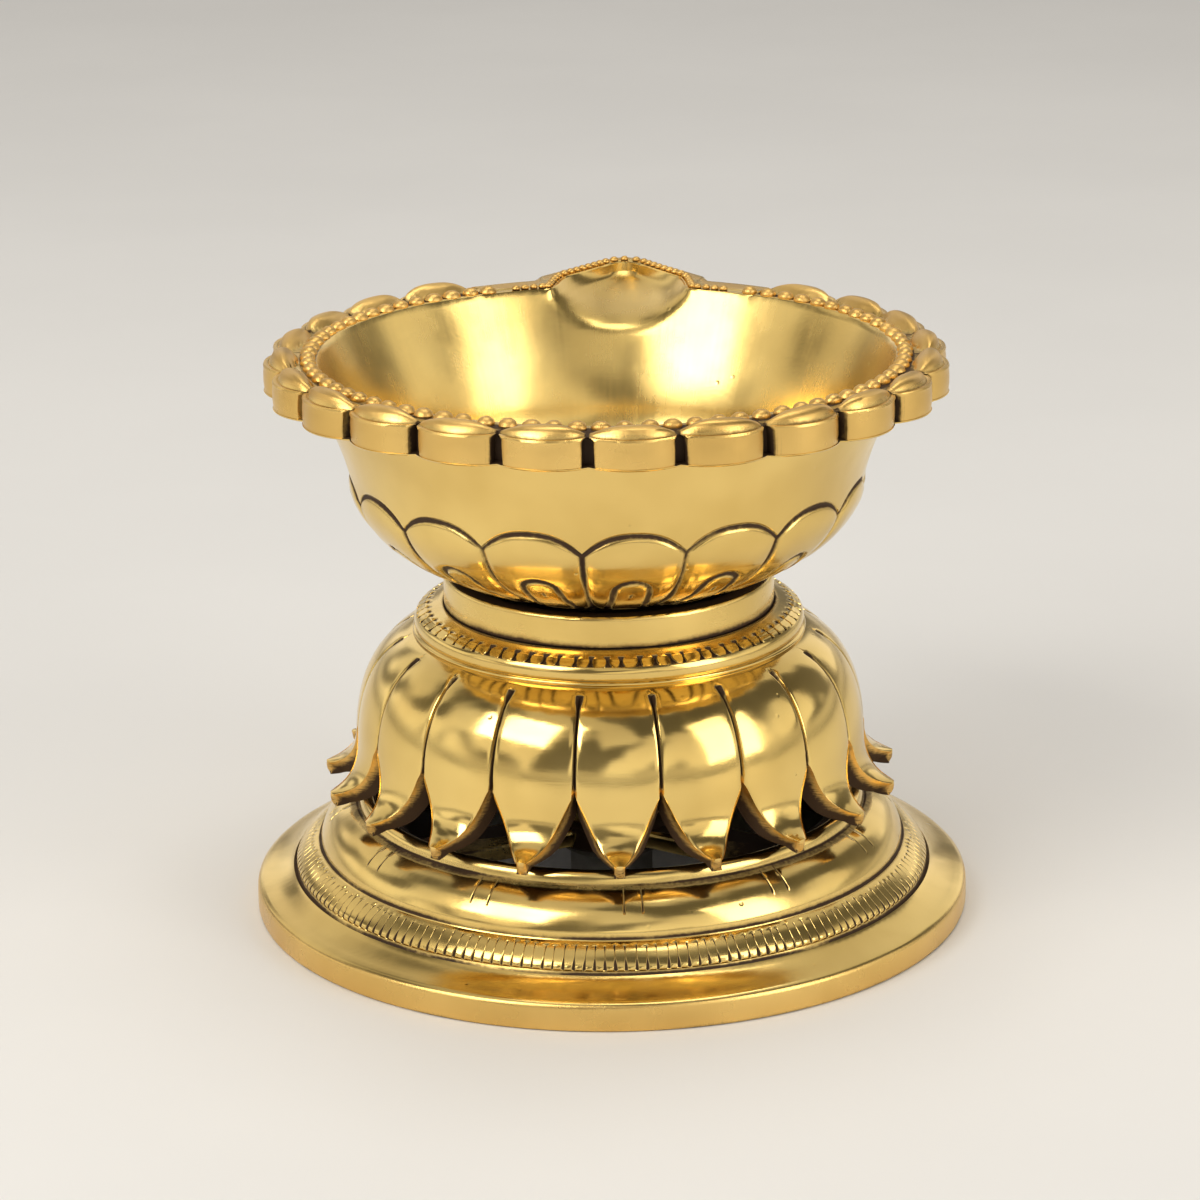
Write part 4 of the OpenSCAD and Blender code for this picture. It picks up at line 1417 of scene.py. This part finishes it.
def make_floor(looks):
    clear_bench()
    bpy.ops.mesh.primitive_circle_add(vertices=96, radius=FLOOR_RADIUS, fill_type="NGON",
                                      location=(0, 0, 0))
    floor = bpy.context.object
    floor.name = "studio_floor"
    material, tree, shader = new_material("pale_floor")
    here = put(tree, "TexCoord").outputs["Object"]
    cloud = ramp(tree, noise(tree, here, 9.0, 4.0), 0.3, 0.7, 0.97, 1.0)
    cloud = put(tree, "CombineColor", {0: cloud, 1: cloud, 2: cloud}).outputs[0]
    tone = blend_colour(tree, 1.0, (*looks.floor_tone, 1), cloud, "MULTIPLY")
    fill(tree, shader, {"Base Color": tone, "Roughness": 0.65})
    floor.data.materials.append(material)


def soft_light(name, place, target, size, power, tint):
    light = bpy.data.lights.new(name, "AREA")
    light.shape = "RECTANGLE"
    light.size, light.size_y = size
    light.energy = power
    light.color = tint
    made = bpy.data.objects.new(name, light)
    bpy.context.scene.collection.objects.link(made)
    made.location = place
    made.rotation_euler = (Vector(target) - Vector(place)).to_track_quat("-Z", "Y").to_euler()


def make_world():
    """A pale, plain horizon under a darker ceiling with uneven panels."""
    world = bpy.data.worlds.new("studio")
    bpy.context.scene.world = world
    world.use_nodes = True
    tree = world.node_tree
    here = put(tree, "TexCoord").outputs["Generated"]
    height = put(tree, "SeparateXYZ", {0: here}).outputs[2]
    level = ramp(tree, height, 0.10, 0.80, 0.84, 0.50)
    panels = ramp(tree, noise(tree, here, 2.1, 1.0), 0.44, 0.56, -0.75, 0.28)
    raised = ramp(tree, height, 0.04, 0.16)
    level = calc(tree, "MULTIPLY", level, calc(tree, "MULTIPLY_ADD", panels, raised, 1.0))
    level = calc(tree, "MULTIPLY", level, ramp(tree, height, 0.0, 0.12, 0.60, 1.0))
    green, blue = [calc(tree, "MULTIPLY", level, share) for share in (0.96, 0.90)]
    tint = put(tree, "CombineColor", {0: level, 1: green, 2: blue}).outputs[0]
    tree.links.new(tint, tree.nodes["Background"].inputs["Color"])


def make_camera(looks):
    distance, height, pitch, roll = 0.50769, 0.20325, 0.3056, math.radians(-0.6)
    data = bpy.data.cameras.new("front_view")
    camera = bpy.data.objects.new("front_view", data)
    bpy.context.scene.collection.objects.link(camera)
    data.sensor_width = 36.0
    data.lens = looks.lens
    data.shift_x = -0.0075
    turn = looks.view_turn
    camera.location = (distance*math.sin(turn), -distance*math.cos(turn), height)
    sight = Vector((-math.sin(turn)*math.cos(pitch), math.cos(turn)*math.cos(pitch), -math.sin(pitch)))
    level = sight.to_track_quat("-Z", "Y")
    camera.rotation_mode = "QUATERNION"
    camera.rotation_quaternion = level @ Quaternion((0, 0, 1), roll)
    data.clip_start = 0.01
    bpy.context.scene.camera = camera


def make_studio(looks):
    make_camera(looks)
    make_floor(looks)
    make_world()
    soft_light("key", (-0.55, -0.60, 0.70), (0, 0, 0.04), (0.6, 0.5), 5.1, (1.0, 0.97, 0.92))
    soft_light("fill", (0.75, -0.45, 0.45), (0, 0, 0.04), (0.4, 0.7), 2.6, (1.0, 0.96, 0.90))
    soft_light("top", (0.05, 0.15, 0.95), (0, 0, 0.05), (0.5, 0.5), 2.2, (1.0, 0.98, 0.94))
    bpy.context.scene.view_settings.view_transform = "Standard"


# Operators, panel and registration

class LAMP_OT_studio(bpy.types.Operator):
    """Sets up the floor, the light and the view"""
    bl_idname = "lamp.make_studio"
    bl_label = "Make the studio"

    def execute(self, context):
        make_studio(context.scene.lamp_studio)
        return {"FINISHED"}


class LAMP_OT_foot(bpy.types.Operator):
    """Models the moulded foot with its chased marks and its web"""
    bl_idname = "lamp.make_foot"
    bl_label = "Make the foot"

    def execute(self, context):
        make_foot(context.scene.lamp_foot, context.scene.lamp_brass)
        return {"FINISHED"}


class LAMP_OT_dome(bpy.types.Operator):
    """Models the openwork petal dome with its notched ring"""
    bl_idname = "lamp.make_dome"
    bl_label = "Make the lotus dome"

    def execute(self, context):
        make_dome(context.scene.lamp_dome, context.scene.lamp_brass)
        return {"FINISHED"}


class LAMP_OT_collar(bpy.types.Operator):
    """Models the plain collar"""
    bl_idname = "lamp.make_collar"
    bl_label = "Make the collar"

    def execute(self, context):
        make_collar(context.scene.lamp_brass)
        return {"FINISHED"}


class LAMP_OT_bowl(bpy.types.Operator):
    """Models the lobed bowl with its relief, beads and spout"""
    bl_idname = "lamp.make_bowl"
    bl_label = "Make the bowl"

    def execute(self, context):
        make_bowl(context.scene.lamp_bowl, context.scene.lamp_brass)
        return {"FINISHED"}


class LAMP_OT_fastening(bpy.types.Operator):
    """Models the sleeve, the rod, the washer and the nut inside the stand"""
    bl_idname = "lamp.make_fastening"
    bl_label = "Make the fastening"

    def execute(self, context):
        brass = context.scene.lamp_brass
        steel = FINISHES.steel(brass)
        make_spacer(brass)
        make_rod(steel)
        make_washer(steel)
        make_nut(steel)
        return {"FINISHED"}


class LAMP_PT_panel(bpy.types.Panel):
    """Lists the lamp's operators and settings"""
    bl_label = "Lotus lamp"
    bl_idname = "LAMP_PT_panel"
    bl_space_type = "VIEW_3D"
    bl_region_type = "UI"
    bl_category = "Lotus lamp"

    def draw(self, context):
        for name in SETTINGS:
            box = self.layout.box()
            group = getattr(context.scene, name)
            for key in group.__annotations__:
                box.prop(group, key)
        for operator in OPERATORS:
            self.layout.operator(operator.bl_idname)


SETTINGS = {"lamp_brass": BrassLooks, "lamp_foot": FootLooks, "lamp_dome": DomeLooks,
            "lamp_bowl": BowlLooks, "lamp_studio": StudioLooks}
OPERATORS = (LAMP_OT_studio, LAMP_OT_foot, LAMP_OT_dome, LAMP_OT_collar, LAMP_OT_bowl, LAMP_OT_fastening)


def register():
    for kind in (*SETTINGS.values(), *OPERATORS, LAMP_PT_panel):
        bpy.utils.register_class(kind)
    for name, kind in SETTINGS.items():
        setattr(bpy.types.Scene, name, PointerProperty(type=kind))


def unregister():
    for name in SETTINGS:
        delattr(bpy.types.Scene, name)
    for kind in (LAMP_PT_panel, *OPERATORS[::-1], *list(SETTINGS.values())[::-1]):
        bpy.utils.unregister_class(kind)


def main():
    register()
    bpy.ops.lamp.make_studio()
    bpy.ops.lamp.make_foot()
    bpy.ops.lamp.make_dome()
    bpy.ops.lamp.make_collar()
    bpy.ops.lamp.make_bowl()
    bpy.ops.lamp.make_fastening()


if __name__ == "__main__":
    main()
